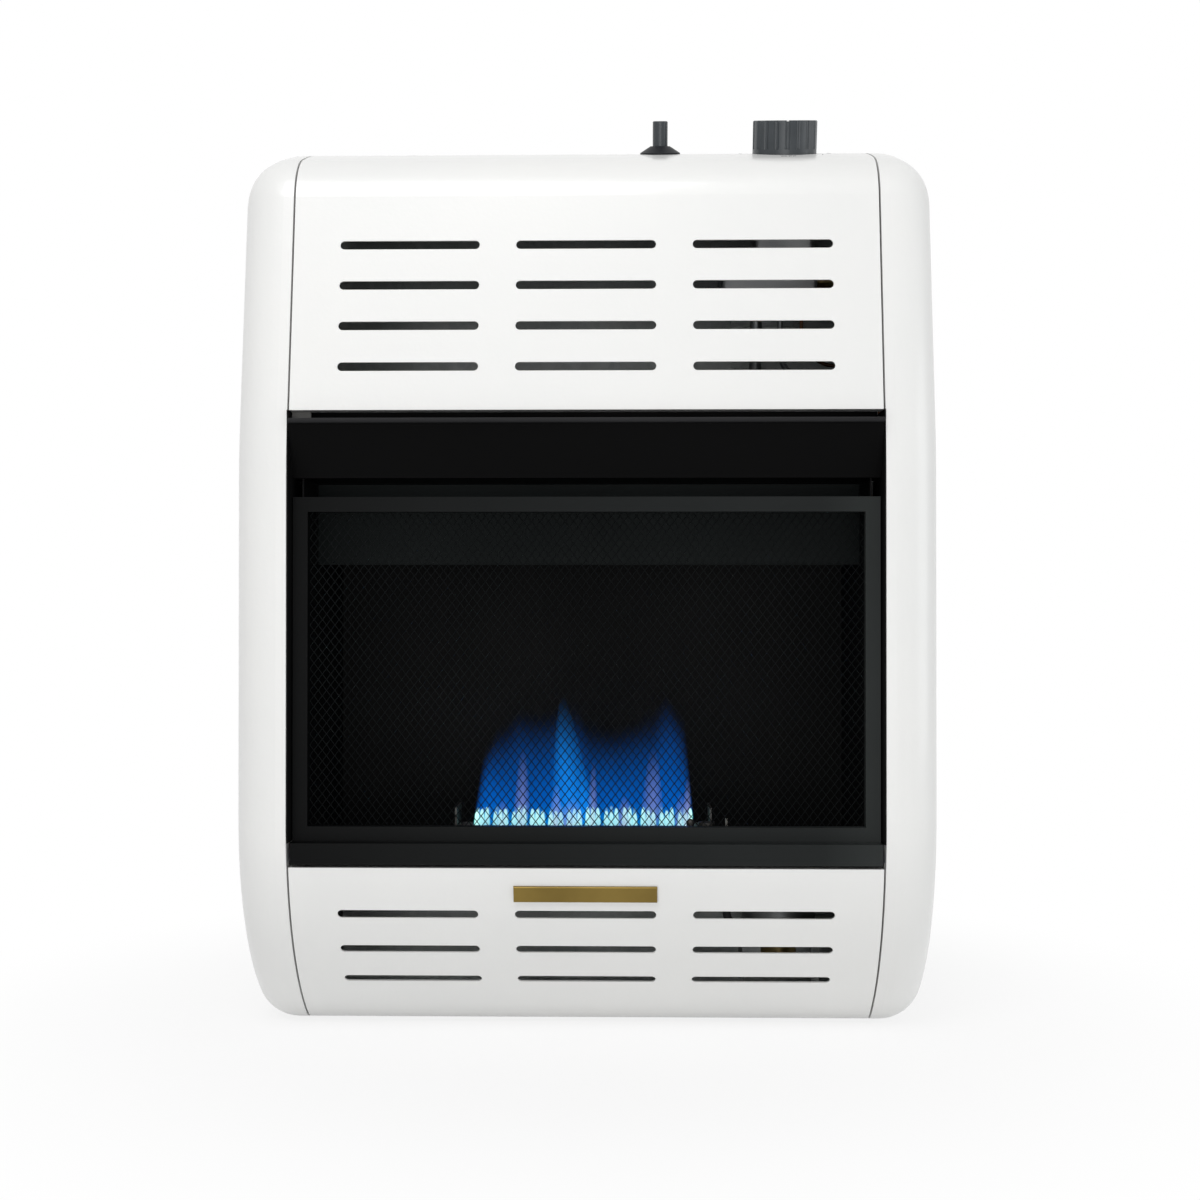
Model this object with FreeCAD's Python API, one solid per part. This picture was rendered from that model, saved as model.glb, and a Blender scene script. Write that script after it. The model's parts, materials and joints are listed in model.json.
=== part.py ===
import FreeCAD, Part
import math
import os

# Ventless gas heater that hangs on a wall or stands on its flat foot: a bowed steel cabinet round a
# guarded firebox, with a blue flame burner, a thermostat valve under its knob and a push igniter.
# Sizes are in millimetres. X runs to the right, Y towards the wall and Z up. The origin is under the
# middle of the whole object. Depths are counted from the foremost line of the cabinet to the wall.

V = FreeCAD.Vector

# Cabinet
case_width = 426.0
case_height = 571.5
case_depth = 206.0
sheet = 1.0
seam_gap = 1.2
side_panel_width = 35.3
side_edge_radius = 28.0
return_flange = 10.0
opening_lip = 16.0
upper_panel_bottom = 381.0
lower_panel_top = 107.0
lower_panel_end_depth = 95.0
fit_gap = 0.3
running_gap = 0.05
overrun = 5.0

# Bow of the front seen from the side: radii, and angles in degrees
low_radius = 161.0
foot_radius = 30.0
foot_tilt = 53.0
belly_radius = 300.0
face_lean = 8.0
crown_radius = 36.0
crown_slope = 22.0
top_flat = 12.4

# Vent slots
vent_length_share = 0.2389
vent_height = 5.4
vent_pitch_share = 0.3011
vent_columns = 3
vent_row_pitch = 25.4
upper_vent_rise = 26.8
upper_vent_rows = 4
lower_vent_drop = 30.0
lower_vent_rows = 3

# Bare badge bar on the lower panel
badge_width = 86.0
badge_height = 10.0
badge_thickness = 1.6
badge_drop = 16.0
badge_edge_radius = 0.6

# Back panel and its screws
back_recess = 12.0
rear_flange_width = 14.0
rear_flange_bottom = 60.0
rear_flange_height = 440.0
rear_screw_shares = (0.1, 0.5, 0.9)
screw_radius = 2.0
screw_clearance = 0.1
screw_length = 8.0
screw_head_radius = 4.0
screw_head_height = 2.4
screw_slot_width = 1.0
screw_slot_depth = 1.0

# Wall bracket
bracket_width = 300.0
bracket_height = 40.0
bracket_sheet = 2.0
hang_drop = 61.5
hook_width = 36.0
hook_pitch = 200.0
hook_lip = 8.0
hook_inset = 2.0
hook_side_clearance = 1.0
wall_screw_pitch = 254.0
wall_hole_radius = 3.25

# Bottom pan
inlet_hole_radius = 17.0
air_slot_length_share = 0.169
air_slot_width = 8.0
air_slot_pitch_share = 0.225
air_slot_count = 3
air_slot_depth = 120.0
air_slot_centre_share = -0.165

# Heat deflector under the upper panel
hood_reach = 4.0
hood_side_gap = 0.1
hood_sheet = 1.2
hem_radius = 1.7
hem_height = 374.0
hood_top_flange_depth = 30.0
hood_lip_height = 341.0
hood_lip_depth = 14.0
hood_end_depth = 40.0

# Sill rail under the guard
sill_top = 121.5
sill_height = 12.7
sill_front_depth = 3.0
sill_end_depth = 20.0
sill_sheet = 1.2
sill_side_gap = 0.5

# Guard
guard_side_gap = 0.5
guard_top = 329.5
guard_front_depth = 12.0
guard_bar_width = 9.0
guard_bar_depth = 7.0
guard_bar_wall = 1.0
mesh_thickness = 0.8
mesh_margin = 1.0
mesh_strand = 2.0
mesh_columns = 17
mesh_rows = 8

# Firebox
firebox_side_gap = 5.7
firebox_sheet = 1.0
firebox_front_depth = 20.0
firebox_back_gap = 50.0
front_floor_end_depth = 57.0
rear_floor_start_depth = 97.0
wall_flange = 5.0
wall_inset = 3.0
baffle_depth = 66.0
baffle_drop = 51.0
gas_window_front_depth = 29.0
gas_window_back_depth = 84.0
gas_window_bottom = 57.0
gas_window_height = 48.0
supply_window_width = 22.0
supply_window_height = 22.0

# Burner
burner_centre_x = -3.0
burner_length_share = 0.4651
burner_width = 34.0
burner_depth = 77.0
burner_top = 124.0
burner_height = 40.0
burner_wall = 1.2
burner_edge_radius = 8.0
port_count = 12
port_pitch_share = 0.07375
port_rows = 2
port_row_pitch = 10.0
port_length = 7.0
port_width = 2.4
burner_foot_width = 14.0
burner_foot_length = 54.0
burner_bracket_sheet = 1.2
burner_bracket_width = 30.0
burner_bracket_top = 136.0

# Venturi and injector
venturi_height = 97.0
venturi_radius = 11.0
venturi_wall = 1.2
venturi_length_share = 0.1483
venturi_mouth_length = 12.0
venturi_mouth_radius = 16.0
injector_gap = 6.0
injector_radius = 4.0
injector_length = 20.0
injector_tip_length = 5.0
injector_tip_radius = 2.0
injector_jet_radius = 0.8
injector_bracket_gap = 12.0
injector_bracket_width = 30.0
injector_bracket_drop = 26.0
injector_flange_length = 50.0
injector_flange_width = 12.0

# Pilot
pilot_inset = 3.0
pilot_depth = 42.0
pilot_radius = 4.0
pilot_bottom = 92.0
pilot_hood_radius = 5.2
pilot_hood_bottom = 121.0
pilot_hood_height = 9.0
pilot_hood_window = 4.0
probe_inset = 13.0
probe_radius = 2.4
probe_bottom = 94.0
probe_top = 132.0
electrode_outset = 9.0
electrode_depth = 35.0
electrode_radius = 3.0
electrode_bottom = 90.0
electrode_top = 125.0
electrode_wire_radius = 0.8
electrode_wire_length = 8.0
pilot_collar_height = 3.0
pilot_collar_rim = 1.6
pilot_plate_inset = 23.0
pilot_plate_outset = 21.0
pilot_plate_front_depth = 27.0
pilot_plate_rear_depth = 49.0
pilot_plate_sheet = 1.2
pilot_hole_border = 3.0

# Controls on the sloping top
control_depth = 81.0
knob_edge_gap = 51.7
control_pitch = 80.0

# Control knob and valve stem, heights counted along the leaning axis from the top sheet
knob_radius = 20.5
knob_rise = 20.5
knob_sink = 6.0
knob_wall = 2.6
knob_cap = 3.0
knob_edge_radius = 0.9
knob_base_ring = 2.8
knob_hub_radius = 7.5
knob_hole_gap = 0.8
flute_count = 18
flute_radius = 2.2
flute_depth = 0.8
pointer_width = 1.8
pointer_depth = 0.7
pointer_length = 13.0
stem_radius = 4.0
stem_top_gap = 1.0
stem_bottom = 50.0
knob_push_travel = 4.5
push_pin_radius = 2.5
push_pin_length = 20.0
end_room = 2.5

# Valve body
valve_boss_radius = 11.0
valve_boss_top = 24.0
valve_top = 30.0
valve_waist = 66.0
valve_bottom = 92.0
valve_upper_width = 38.0
valve_upper_thickness = 36.0
valve_lower_left = 40.0
valve_lower_right = 22.0
valve_lower_thickness = 40.0
valve_edge_radius = 3.0
valve_bracket_sheet = 1.5
valve_bracket_left = 28.0
valve_bracket_right = 16.0
valve_bracket_drop = 10.0
valve_bracket_foot = 30.0
valve_screw_pitch = 26.0

# Push igniter, heights counted along the leaning axis from the top sheet
igniter_body_radius = 9.0
igniter_body_bottom = 46.0
igniter_neck_radius = 7.0
igniter_neck_rise = 3.2
bezel_radius = 12.85
bezel_top_radius = 6.2
bezel_height = 5.0
bezel_rim = 0.8
button_radius = 4.8
button_rise = 20.5
button_tail = 16.0
button_edge_radius = 0.8
button_travel = 8.0
terminal_radius = 2.0
terminal_length = 6.0

# Thermostat bulb
bulb_radius = 4.75
bulb_left = 10.0
bulb_right = 80.0
bulb_back_gap = 24.0
bulb_height = 60.0
clip_width = 8.0
clip_border = 2.0
clip_shares = (0.2, 0.8)

# Regulator and gas inlet
regulator_side_gap = 85.0
regulator_back_gap = 56.0
regulator_radius = 25.0
regulator_bottom = 45.0
regulator_height = 30.0
regulator_edge_radius = 3.0
bonnet_radius = 17.0
bonnet_height = 15.0
cap_radius = 9.0
cap_height = 8.0
cap_chamfer = 1.5
outlet_height = 60.0
outlet_radius = 8.0
outlet_length = 14.0
inlet_radius = 12.0
inlet_bottom = 20.0
inlet_thread_radius = 7.3
inlet_thread_length = 14.0
saddle_sheet = 1.2
saddle_width = 52.0
saddle_length = 44.0
saddle_foot = 12.0

# Gas tubes, leads and nuts
supply_radius = 4.75
supply_bore = 3.9
main_radius = 4.0
main_bore = 3.2
pilot_tube_radius = 2.0
pilot_tube_bore = 1.4
lead_radius = 1.2
ignition_radius = 2.5
capillary_radius = 1.0
tube_bend = 24.0
main_end_bend = 12.0
pilot_end_bend = 6.0
thin_bend = 10.0
nut_length = 14.0
large_nut_across = 16.0
small_nut_across = 11.0

# Places of the tubes between the firebox and the right side panel
main_run_gap = 9.0
pilot_run_gap = 15.5
lead_run_gap = 19.7
ignition_run_gap = 24.5
capillary_run_gap = 25.0
supply_run_gap = 8.5
main_port_reach = 16.0
lead_port_reach = 14.0
ignition_turn_reach = 30.0
supply_port_height = 79.0
capillary_port_height = 48.0
main_run_drop = 171.5
pilot_run_drop = 158.5
lead_run_drop = 147.5
ignition_run_drop = 179.5
ignition_turn_drop = 147.5
ignition_back_gap = 60.0
capillary_turn_drop = 131.5
pilot_tube_low_height = 84.0
lead_low_height = 76.0
ignition_low_height = 66.0

# Sizes and places worked out from the sizes above
half_width = case_width / 2
front_panel_width = case_width - side_panel_width * 2
panel_half = front_panel_width / 2
vent_length = front_panel_width * vent_length_share
vent_column_pitch = front_panel_width * vent_pitch_share
air_slot_length = front_panel_width * air_slot_length_share
air_slot_pitch = front_panel_width * air_slot_pitch_share
air_slot_centre_x = front_panel_width * air_slot_centre_share
hood_width = front_panel_width - hood_side_gap * 2
sill_width = front_panel_width - sill_side_gap * 2
guard_width = front_panel_width - guard_side_gap * 2
firebox_width = front_panel_width - firebox_side_gap * 2
burner_length = firebox_width * burner_length_share
venturi_length = firebox_width * venturi_length_share
port_pitch = burner_length * port_pitch_share
hang_height = case_height - hang_drop
firebox_back_depth = case_depth - firebox_back_gap
regulator_depth = case_depth - regulator_back_gap
bulb_depth = case_depth - bulb_back_gap
ignition_run_depth = case_depth - ignition_back_gap
knob_x = panel_half - knob_edge_gap
igniter_x = knob_x - control_pitch
regulator_x = half_width - regulator_side_gap
edge_x = panel_half + seam_gap
front_y = hood_reach - (case_depth + hood_reach) / 2
wall_y = front_y + case_depth
back_rear_y = wall_y - back_recess
back_front_y = back_rear_y - sheet
firebox_half = firebox_width / 2
sill_bottom = sill_top - sill_height
floor_height = sill_bottom + sill_sheet
floor_top = floor_height + firebox_sheet
burner_left = burner_centre_x - burner_length / 2
burner_right = burner_centre_x + burner_length / 2
pilot_x = burner_right - pilot_inset
probe_x = burner_right - probe_inset
electrode_x = burner_right + electrode_outset
pilot_plate_left = burner_right - pilot_plate_inset
pilot_plate_right = burner_right + pilot_plate_outset
injector_start_x = burner_right + venturi_length + injector_gap
injector_plate_x = injector_start_x + injector_bracket_gap
injector_end_x = injector_start_x + injector_length
outlet_end_x = regulator_x + regulator_radius + outlet_length
main_run_x = firebox_half + main_run_gap
pilot_run_x = firebox_half + pilot_run_gap
lead_run_x = firebox_half + lead_run_gap
ignition_run_x = firebox_half + ignition_run_gap
capillary_run_x = firebox_half + capillary_run_gap
supply_run_x = half_width - supply_run_gap
main_port_x = knob_x - main_port_reach
lead_port_x = knob_x + lead_port_reach
ignition_turn_x = knob_x - ignition_turn_reach
main_run_height = case_height - main_run_drop
pilot_run_height = case_height - pilot_run_drop
lead_run_height = case_height - lead_run_drop
ignition_run_height = case_height - ignition_run_drop
ignition_drop_height = case_height - ignition_turn_drop
capillary_turn_height = case_height - capillary_turn_drop


def at(depth):
    """Place along Y of a depth behind the foremost line of the cabinet."""
    return front_y + depth


def on_arc(centre, radius, tilt):
    """Point of an arc seen from the side; tilt counts up from straight ahead."""
    angle = math.radians(tilt)
    return V(0, centre.y - radius * math.cos(angle), centre.z + radius * math.sin(angle))


crown_tilt = 90 - crown_slope
foot_lift = (low_radius - foot_radius) * math.sin(math.radians(foot_tilt))
low_centre = V(0, front_y + low_radius, foot_radius + foot_lift)
foot_centre = on_arc(low_centre, low_radius - foot_radius, -foot_tilt)
belly_drop = belly_radius * math.sin(math.radians(face_lean))
belly_centre = V(0, front_y + belly_radius, upper_panel_bottom - belly_drop)
face_foot = on_arc(belly_centre, belly_radius, face_lean)

# The top's arc fills the depth that the leaning face and the crown leave in front of the flat at the wall
lean_rise = math.tan(math.radians(face_lean))
crown_reach = crown_radius / math.cos(math.radians(face_lean))
top_y = wall_y - top_flat
level_crown_y = face_foot.y + crown_reach + (case_height - crown_radius - face_foot.z) * lean_rise
arc_run = math.cos(math.radians(crown_tilt))
arc_drop = 1 - math.sin(math.radians(crown_tilt))
arc_past_crown = (top_y - level_crown_y) / (arc_run - arc_drop * lean_rise)
top_radius = crown_radius + arc_past_crown
top_centre = V(0, top_y, case_height - top_radius)
crown_centre = on_arc(top_centre, arc_past_crown, crown_tilt)

# Leaning axis of the knob and the igniter, square to the top sheet
control_slope = math.degrees(math.asin((top_centre.y - at(control_depth)) / top_radius))
control_point = on_arc(top_centre, top_radius, 90 - control_slope)


def block(x0, x1, y0, y1, z0, z1):
    """Box between two corners."""
    return Part.makeBox(x1 - x0, y1 - y0, z1 - z0, V(x0, y0, z0))


def rod(start, end, radius):
    """Round bar between two points."""
    along = end - start
    return Part.makeCylinder(radius, along.Length, start, along)


def post(x, depth, bottom, top, radius):
    """Upright round bar."""
    return rod(V(x, at(depth), bottom), V(x, at(depth), top), radius)


def fused(pieces):
    """One solid from touching pieces, without the seams between them."""
    return pieces[0].multiFuse(pieces[1:]).removeSplitter()


def prism(points, x0, x1):
    """Bar along X whose outline is given as points of place along Y and height."""
    corners = [V(x0, y, z) for y, z in points]
    face = Part.Face(Part.makePolygon(corners + corners[:1]))
    return face.extrude(V(x1 - x0, 0, 0))


def bent_sheet(points, thickness, x0, x1):
    """Folded sheet along X that lies to the left of the folds, given as places along Y and heights."""
    sides = []
    for (y0, z0), (y1, z1) in zip(points, points[1:]):
        length = math.hypot(y1 - y0, z1 - z0)
        sides.append(((z0 - z1) / length, (y1 - y0) / length))
    far = []
    for (y, z), (ay, az), (by, bz) in zip(points, sides[:1] + sides, sides + sides[-1:]):
        reach = thickness / (1 + ay * by + az * bz)
        far.append((y + (ay + by) * reach, z + (az + bz) * reach))
    return prism(points + far[::-1], x0, x1)


def edges_where(shape, test):
    """Edges whose ends and middle all pass a test."""
    chosen = []
    for edge in shape.Edges:
        middle = edge.valueAt((edge.FirstParameter + edge.LastParameter) / 2)
        points = [vertex.Point for vertex in edge.Vertexes] + [middle]
        if all(test(point) for point in points):
            chosen.append(edge)
    return chosen


def near(a, b):
    """True where two places are the same."""
    return abs(a - b) < running_gap


def arc_edge(centre, radius, first, last):
    """Arc seen from the side between two tilts."""
    middle = on_arc(centre, radius, (first + last) / 2)
    return Part.Arc(on_arc(centre, radius, first), middle, on_arc(centre, radius, last)).toShape()


def side_outline(inset, back_y):
    """Face of the cabinet seen from the side, drawn in by a wall, up to a plane near the wall."""
    arcs = [
        arc_edge(foot_centre, foot_radius - inset, -90, -foot_tilt),
        arc_edge(low_centre, low_radius - inset, -foot_tilt, 0),
        arc_edge(belly_centre, belly_radius - inset, 0, face_lean),
        arc_edge(crown_centre, crown_radius - inset, face_lean, crown_tilt),
        arc_edge(top_centre, top_radius - inset, crown_tilt, 90),
    ]
    edges = []
    pen = V(0, back_y, inset)
    for arc in arcs:
        start = arc.valueAt(arc.FirstParameter)
        if pen.distanceToPoint(start) > running_gap:
            edges.append(Part.LineSegment(pen, start).toShape())
        edges.append(arc)
        pen = arc.valueAt(arc.LastParameter)
    corner = V(0, back_y, case_height - inset)
    edges.append(Part.LineSegment(pen, corner).toShape())
    edges.append(Part.LineSegment(corner, V(0, back_y, inset)).toShape())
    return Part.Face(Part.Wire(edges))


def slab(inset, back_y, x0, x1):
    """Slice of the cabinet's whole shape between two places along X."""
    face = side_outline(inset, back_y)
    face.translate(V(x0, 0, 0))
    return face.extrude(V(x1 - x0, 0, 0))


def pillow(inset, back_y, x0):
    """End slice of the cabinet with its outer edge rounded."""
    outer_x = half_width - inset
    body = slab(inset, back_y, x0, outer_x)
    rim = edges_where(body, lambda p: near(p.x, outer_x) and not near(p.y, back_y))
    return body.makeFillet(side_edge_radius - inset, rim)


def mirrored(shape):
    """The same piece on the other hand."""
    return shape.mirror(V(0, 0, 0), V(1, 0, 0))


def control_place(x, along, behind):
    """Point near a control, along its leaning axis and behind it."""
    slope = math.radians(control_slope)
    y = control_point.y - along * math.sin(slope) + behind * math.cos(slope)
    return V(x, y, control_point.z + along * math.cos(slope) + behind * math.sin(slope))


def on_control(shape, x):
    """Piece drawn upright about the origin, moved to a control's place and lean."""
    moved = shape.copy()
    moved.rotate(V(0, 0, 0), V(1, 0, 0), control_slope)
    moved.translate(V(x, control_point.y, control_point.z))
    return moved


def spindle(bottom, top, radius):
    """Upright round bar about the origin."""
    return Part.makeCylinder(radius, top - bottom, V(0, 0, bottom))


def rear_screw_places():
    """Screws through the back panel, as places along X and heights."""
    flange_x = half_width - sheet - rear_flange_width / 2
    heights = [rear_flange_bottom + rear_flange_height * share for share in rear_screw_shares]
    places = [(side * flange_x, z) for side in (-1, 1) for z in heights]
    bracket_x = knob_x + (valve_bracket_right - valve_bracket_left) / 2
    foot_z = valve_bracket_points()[-1][1] + valve_bracket_foot / 2
    places += [(bracket_x + side * valve_screw_pitch / 2, foot_z) for side in (-1, 1)]
    return places


def screw_holes(radius):
    """Cutters for the screws through the back panel and what lies in front of it."""
    cutters = []
    for x, z in rear_screw_places():
        start = V(x, back_front_y - screw_length, z)
        cutters.append(rod(start, V(x, wall_y, z), radius))
    return cutters


def side_panel():
    """Right side panel: a rounded shell with a turned in edge and a flange for the back screws."""
    shell = pillow(0, wall_y, edge_x).cut(pillow(sheet, wall_y + overrun, edge_x + sheet))
    window = slab(sheet + return_flange, wall_y + overrun, edge_x - overrun, edge_x + sheet + overrun)
    notch = block(edge_x - overrun, edge_x + sheet, back_front_y - fit_gap, wall_y, sheet,
                  case_height - sheet)
    shell = shell.cut([window, notch])
    inner_x = half_width - sheet
    flange_front = back_front_y - sheet - fit_gap
    flange = block(inner_x - rear_flange_width, inner_x + sheet / 2, flange_front, back_front_y - fit_gap,
                   rear_flange_bottom, rear_flange_bottom + rear_flange_height)
    return fused([shell, flange]).cut(screw_holes(screw_radius + screw_clearance))


def vent_cutter(x, place, tilt):
    """Cutter for one round ended vent slot, square to a face of the given tilt."""
    half = (vent_length - vent_height) / 2
    radius = vent_height / 2
    deep = overrun
    bar = block(-half, half, -deep, deep, -radius, radius)
    ends = [rod(V(side * half, -deep, 0), V(side * half, deep, 0), radius) for side in (-1, 1)]
    cutter = fused([bar] + ends)
    cutter.rotate(V(0, 0, 0), V(1, 0, 0), -tilt)
    cutter.translate(V(x, place.y, place.z))
    return cutter


def vent_row(place, tilt):
    """Cutters for one row of vent slots."""
    middle = (vent_columns - 1) / 2
    return [vent_cutter((i - middle) * vent_column_pitch, place, tilt) for i in range(vent_columns)]


def flanged_strip(back_y, z0, z1):
    """Part of the cabinet's front skin between two heights, with turned in side edges."""
    past_y = wall_y + overrun
    skin = slab(0, wall_y, -panel_half, panel_half)
    skin = skin.cut(slab(sheet, past_y, -panel_half + sheet, panel_half - sheet))
    skin = skin.cut(slab(sheet + return_flange, past_y, -panel_half - overrun, panel_half + overrun))
    return skin.common(block(-half_width, half_width, front_y - overrun, back_y, z0, z1))


def lip_strip(back_y, z0, z1):
    """Edge of a front panel turned in at the opening."""
    whole = slab(0, wall_y, -panel_half, panel_half)
    return whole.common(block(-half_width, half_width, front_y - overrun, back_y, z0, z1))


def upper_front_panel():
    """Front grille, crown and top in one formed sheet, with holes for the controls."""
    skin = flanged_strip(back_front_y, upper_panel_bottom, case_height)
    lip = lip_strip(at(opening_lip), upper_panel_bottom, upper_panel_bottom + sheet)
    cutters = []
    lean = math.radians(face_lean)
    for row in range(upper_vent_rows):
        rise = upper_vent_rise + row * vent_row_pitch
        place = face_foot + V(0, rise * math.sin(lean), rise * math.cos(lean))
        cutters += vent_row(place, face_lean)
    knob_hole = spindle(-knob_sink, knob_rise, knob_radius + knob_hole_gap)
    neck_hole = spindle(-knob_sink, knob_rise, igniter_neck_radius + fit_gap)
    cutters.append(on_control(knob_hole, knob_x))
    cutters.append(on_control(neck_hole, igniter_x))
    return fused([skin, lip]).cut(cutters)


def low_face(drop):
    """Point and tilt of the lower panel at a distance down its face from its top edge."""
    top_tilt = math.asin((low_centre.z - lower_panel_top) / low_radius)
    tilt = -math.degrees(top_tilt + drop / low_radius)
    return on_arc(low_centre, low_radius, tilt), tilt


def lower_front_panel():
    """Curved lower grille that turns under the cabinet."""
    skin = flanged_strip(at(lower_panel_end_depth), 0, lower_panel_top)
    lip = lip_strip(at(opening_lip), lower_panel_top - sheet, lower_panel_top)
    cutters = []
    for row in range(lower_vent_rows):
        place, tilt = low_face(lower_vent_drop + row * vent_row_pitch)
        cutters += vent_row(place, tilt)
    return fused([skin, lip]).cut(cutters)


def badge_bar():
    """Plain bar on the lower panel."""
    place, tilt = low_face(badge_drop)
    bar = block(-badge_width / 2, badge_width / 2, -badge_thickness, 0, -badge_height / 2, badge_height / 2)
    bar = bar.makeFillet(badge_edge_radius, edges_where(bar, lambda p: near(p.y, -badge_thickness)))
    bar.rotate(V(0, 0, 0), V(1, 0, 0), -tilt)
    bar.translate(place)
    return bar


def back_panel():
    """Flat back with rounded corners, slots for the wall bracket and screw holes."""
    border = sheet + fit_gap
    x = half_width - border
    plate = block(-x, x, back_front_y, back_rear_y, border, case_height - border)
    corners = [edge for edge in plate.Edges if near(edge.Length, sheet)]
    plate = plate.makeFillet(side_edge_radius - border, corners)
    cutters = screw_holes(screw_radius + screw_clearance)
    half = hook_width / 2 + hook_side_clearance
    slot_bottom = hang_height - hook_lip - bracket_sheet - hook_side_clearance
    for side in (-1, 1):
        x = side * hook_pitch / 2
        cutters.append(block(x - half, x + half, back_front_y - overrun, wall_y, slot_bottom, hang_height))
    return plate.cut(cutters)


def back_screws():
    """Slotted round head screws through the back panel."""
    screws = []
    for x, z in rear_screw_places():
        shank = rod(V(x, back_rear_y - screw_length, z), V(x, back_rear_y, z), screw_radius)
        head_y = back_rear_y + screw_head_height
        head = rod(V(x, back_rear_y, z), V(x, head_y, z), screw_head_radius)
        slot = block(x - screw_head_radius, x + screw_head_radius, head_y - screw_slot_depth, wall_y,
                     z - screw_slot_width / 2, z + screw_slot_width / 2)
        screws.append(fused([shank, head]).cut(slot))
    return Part.makeCompound(screws)


def wall_bracket():
    """Strip against the wall with two hooks that the back panel hangs on."""
    strip_y = wall_y - bracket_sheet
    half = bracket_width / 2
    pieces = [block(-half, half, strip_y, wall_y, hang_height - bracket_height, hang_height)]
    lip_rear = back_front_y - hook_inset
    for side in (-1, 1):
        x0 = side * hook_pitch / 2 - hook_width / 2
        x1 = x0 + hook_width
        lip_front = lip_rear - bracket_sheet
        pieces.append(block(x0, x1, lip_front, strip_y, hang_height - bracket_sheet, hang_height))
        pieces.append(block(x0, x1, lip_front, lip_rear, hang_height, hang_height + hook_lip))
    holes = []
    hole_z = hang_height - bracket_height / 2
    for side in (-1, 1):
        x = side * wall_screw_pitch / 2
        holes.append(rod(V(x, strip_y - overrun, hole_z), V(x, wall_y + overrun, hole_z), wall_hole_radius))
    return fused(pieces).cut(holes)


def bottom_pan():
    """Base plate with the hole for the gas pipe and slots for the burner's air."""
    plate = block(-panel_half, panel_half, at(lower_panel_end_depth), back_front_y, 0, sheet)
    cutters = [post(regulator_x, regulator_depth, -overrun, overrun, inlet_hole_radius)]
    middle = (air_slot_count - 1) / 2
    for i in range(air_slot_count):
        x = air_slot_centre_x + (i - middle) * air_slot_pitch
        cutters.append(block(x - air_slot_length / 2, x + air_slot_length / 2, at(air_slot_depth),
                             at(air_slot_depth) + air_slot_width, -overrun, overrun))
    return plate.cut(cutters)


def heat_deflector():
    """Slanting hood that throws the hot air forward, with a rolled hem along its top."""
    hem_depth = hem_radius - hood_reach
    half = hood_width / 2
    folds = [
        (at(hood_top_flange_depth), hem_height + hem_radius),
        (at(hem_depth), hem_height + hem_radius),
        (at(hood_lip_depth), hood_lip_height),
        (at(hood_end_depth), hood_lip_height),
    ]
    hem = rod(V(-half, at(hem_depth), hem_height), V(half, at(hem_depth), hem_height), hem_radius)
    return fused([bent_sheet(folds, hood_sheet, -half, half), hem])


def sill_rail():
    """Channel across the foot of the opening."""
    folds = [
        (at(sill_end_depth), sill_top),
        (at(sill_front_depth), sill_top),
        (at(sill_front_depth), sill_bottom),
        (at(sill_end_depth), sill_bottom),
    ]
    return bent_sheet(folds, sill_sheet, -sill_width / 2, sill_width / 2)


def guard_bar(x0, x1, z0, z1):
    """Channel bar of the guard frame, open towards the firebox."""
    y0 = at(guard_front_depth)
    y1 = y0 + guard_bar_depth
    bar = block(x0, x1, y0, y1, z0, z1)
    wall = guard_bar_wall
    if x1 - x0 > z1 - z0:
        hollow = block(x0 - overrun, x1 + overrun, y0 + wall, y1 + overrun, z0 + wall, z1 - wall)
    else:
        hollow = block(x0 + wall, x1 - wall, y0 + wall, y1 + overrun, z0 - overrun, z1 + overrun)
    return bar.cut(hollow)


def guard_bars():
    """The four bars of the guard frame by name."""
    x1 = guard_width / 2
    x0 = x1 - guard_bar_width
    right = guard_bar(x0, x1, sill_top, guard_top)
    return {
        "guard_right_bar": right,
        "guard_left_bar": mirrored(right),
        "guard_top_bar": guard_bar(-x0, x0, guard_top - guard_bar_width, guard_top),
        "guard_bottom_bar": guard_bar(-x0, x0, sill_top, sill_top + guard_bar_width),
    }


def guard_mesh():
    """Expanded metal sheet behind the guard frame, with diamond gaps."""
    y = at(guard_front_depth) + guard_bar_depth
    x1 = guard_width / 2 - mesh_margin
    z0 = sill_top + mesh_margin
    z1 = guard_top - mesh_margin
    frame = [V(-x1, y, z0), V(x1, y, z0), V(x1, y, z1), V(-x1, y, z1)]
    field_width = guard_width - guard_bar_width * 2
    field_height = guard_top - sill_top - guard_bar_width * 2
    pitch_x = field_width / mesh_columns
    pitch_z = field_height / mesh_rows
    half_x = (pitch_x - mesh_strand) / 2
    half_z = (pitch_z - mesh_strand) / 2
    middle_z = (sill_top + guard_top) / 2
    wires = [Part.makePolygon(frame + frame[:1])]
    for across, up in ((mesh_columns, mesh_rows), (mesh_columns - 1, mesh_rows - 1)):
        for i in range(across):
            x = (i - (across - 1) / 2) * pitch_x
            for j in range(up):
                z = middle_z + (j - (up - 1) / 2) * pitch_z
                gap = [V(x - half_x, y, z), V(x, y, z - half_z), V(x + half_x, y, z), V(x, y, z + half_z)]
                wires.append(Part.makePolygon(gap + gap[:1]))
    return Part.Face(wires, "Part::FaceMakerBullseye").extrude(V(0, mesh_thickness, 0))


def firebox_wall():
    """Right wall of the firebox, which stands on the base, with a flange behind the guard."""
    x0 = firebox_half
    x1 = x0 + firebox_sheet
    y0 = at(firebox_front_depth)
    y1 = at(firebox_back_depth) + firebox_sheet
    plate = block(x0, x1, y0, y1, sheet, hood_lip_height)
    trim = slab(wall_inset, wall_y, x0 - overrun, x1 + overrun)
    trim = trim.fuse(block(x0, x1, at(lower_panel_end_depth), y1, 0, wall_inset))
    flange = block(x0, x1 + wall_flange - firebox_sheet, y0, y0 + firebox_sheet, sill_top, guard_top)
    return fused([plate.common(trim), flange])


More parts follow.
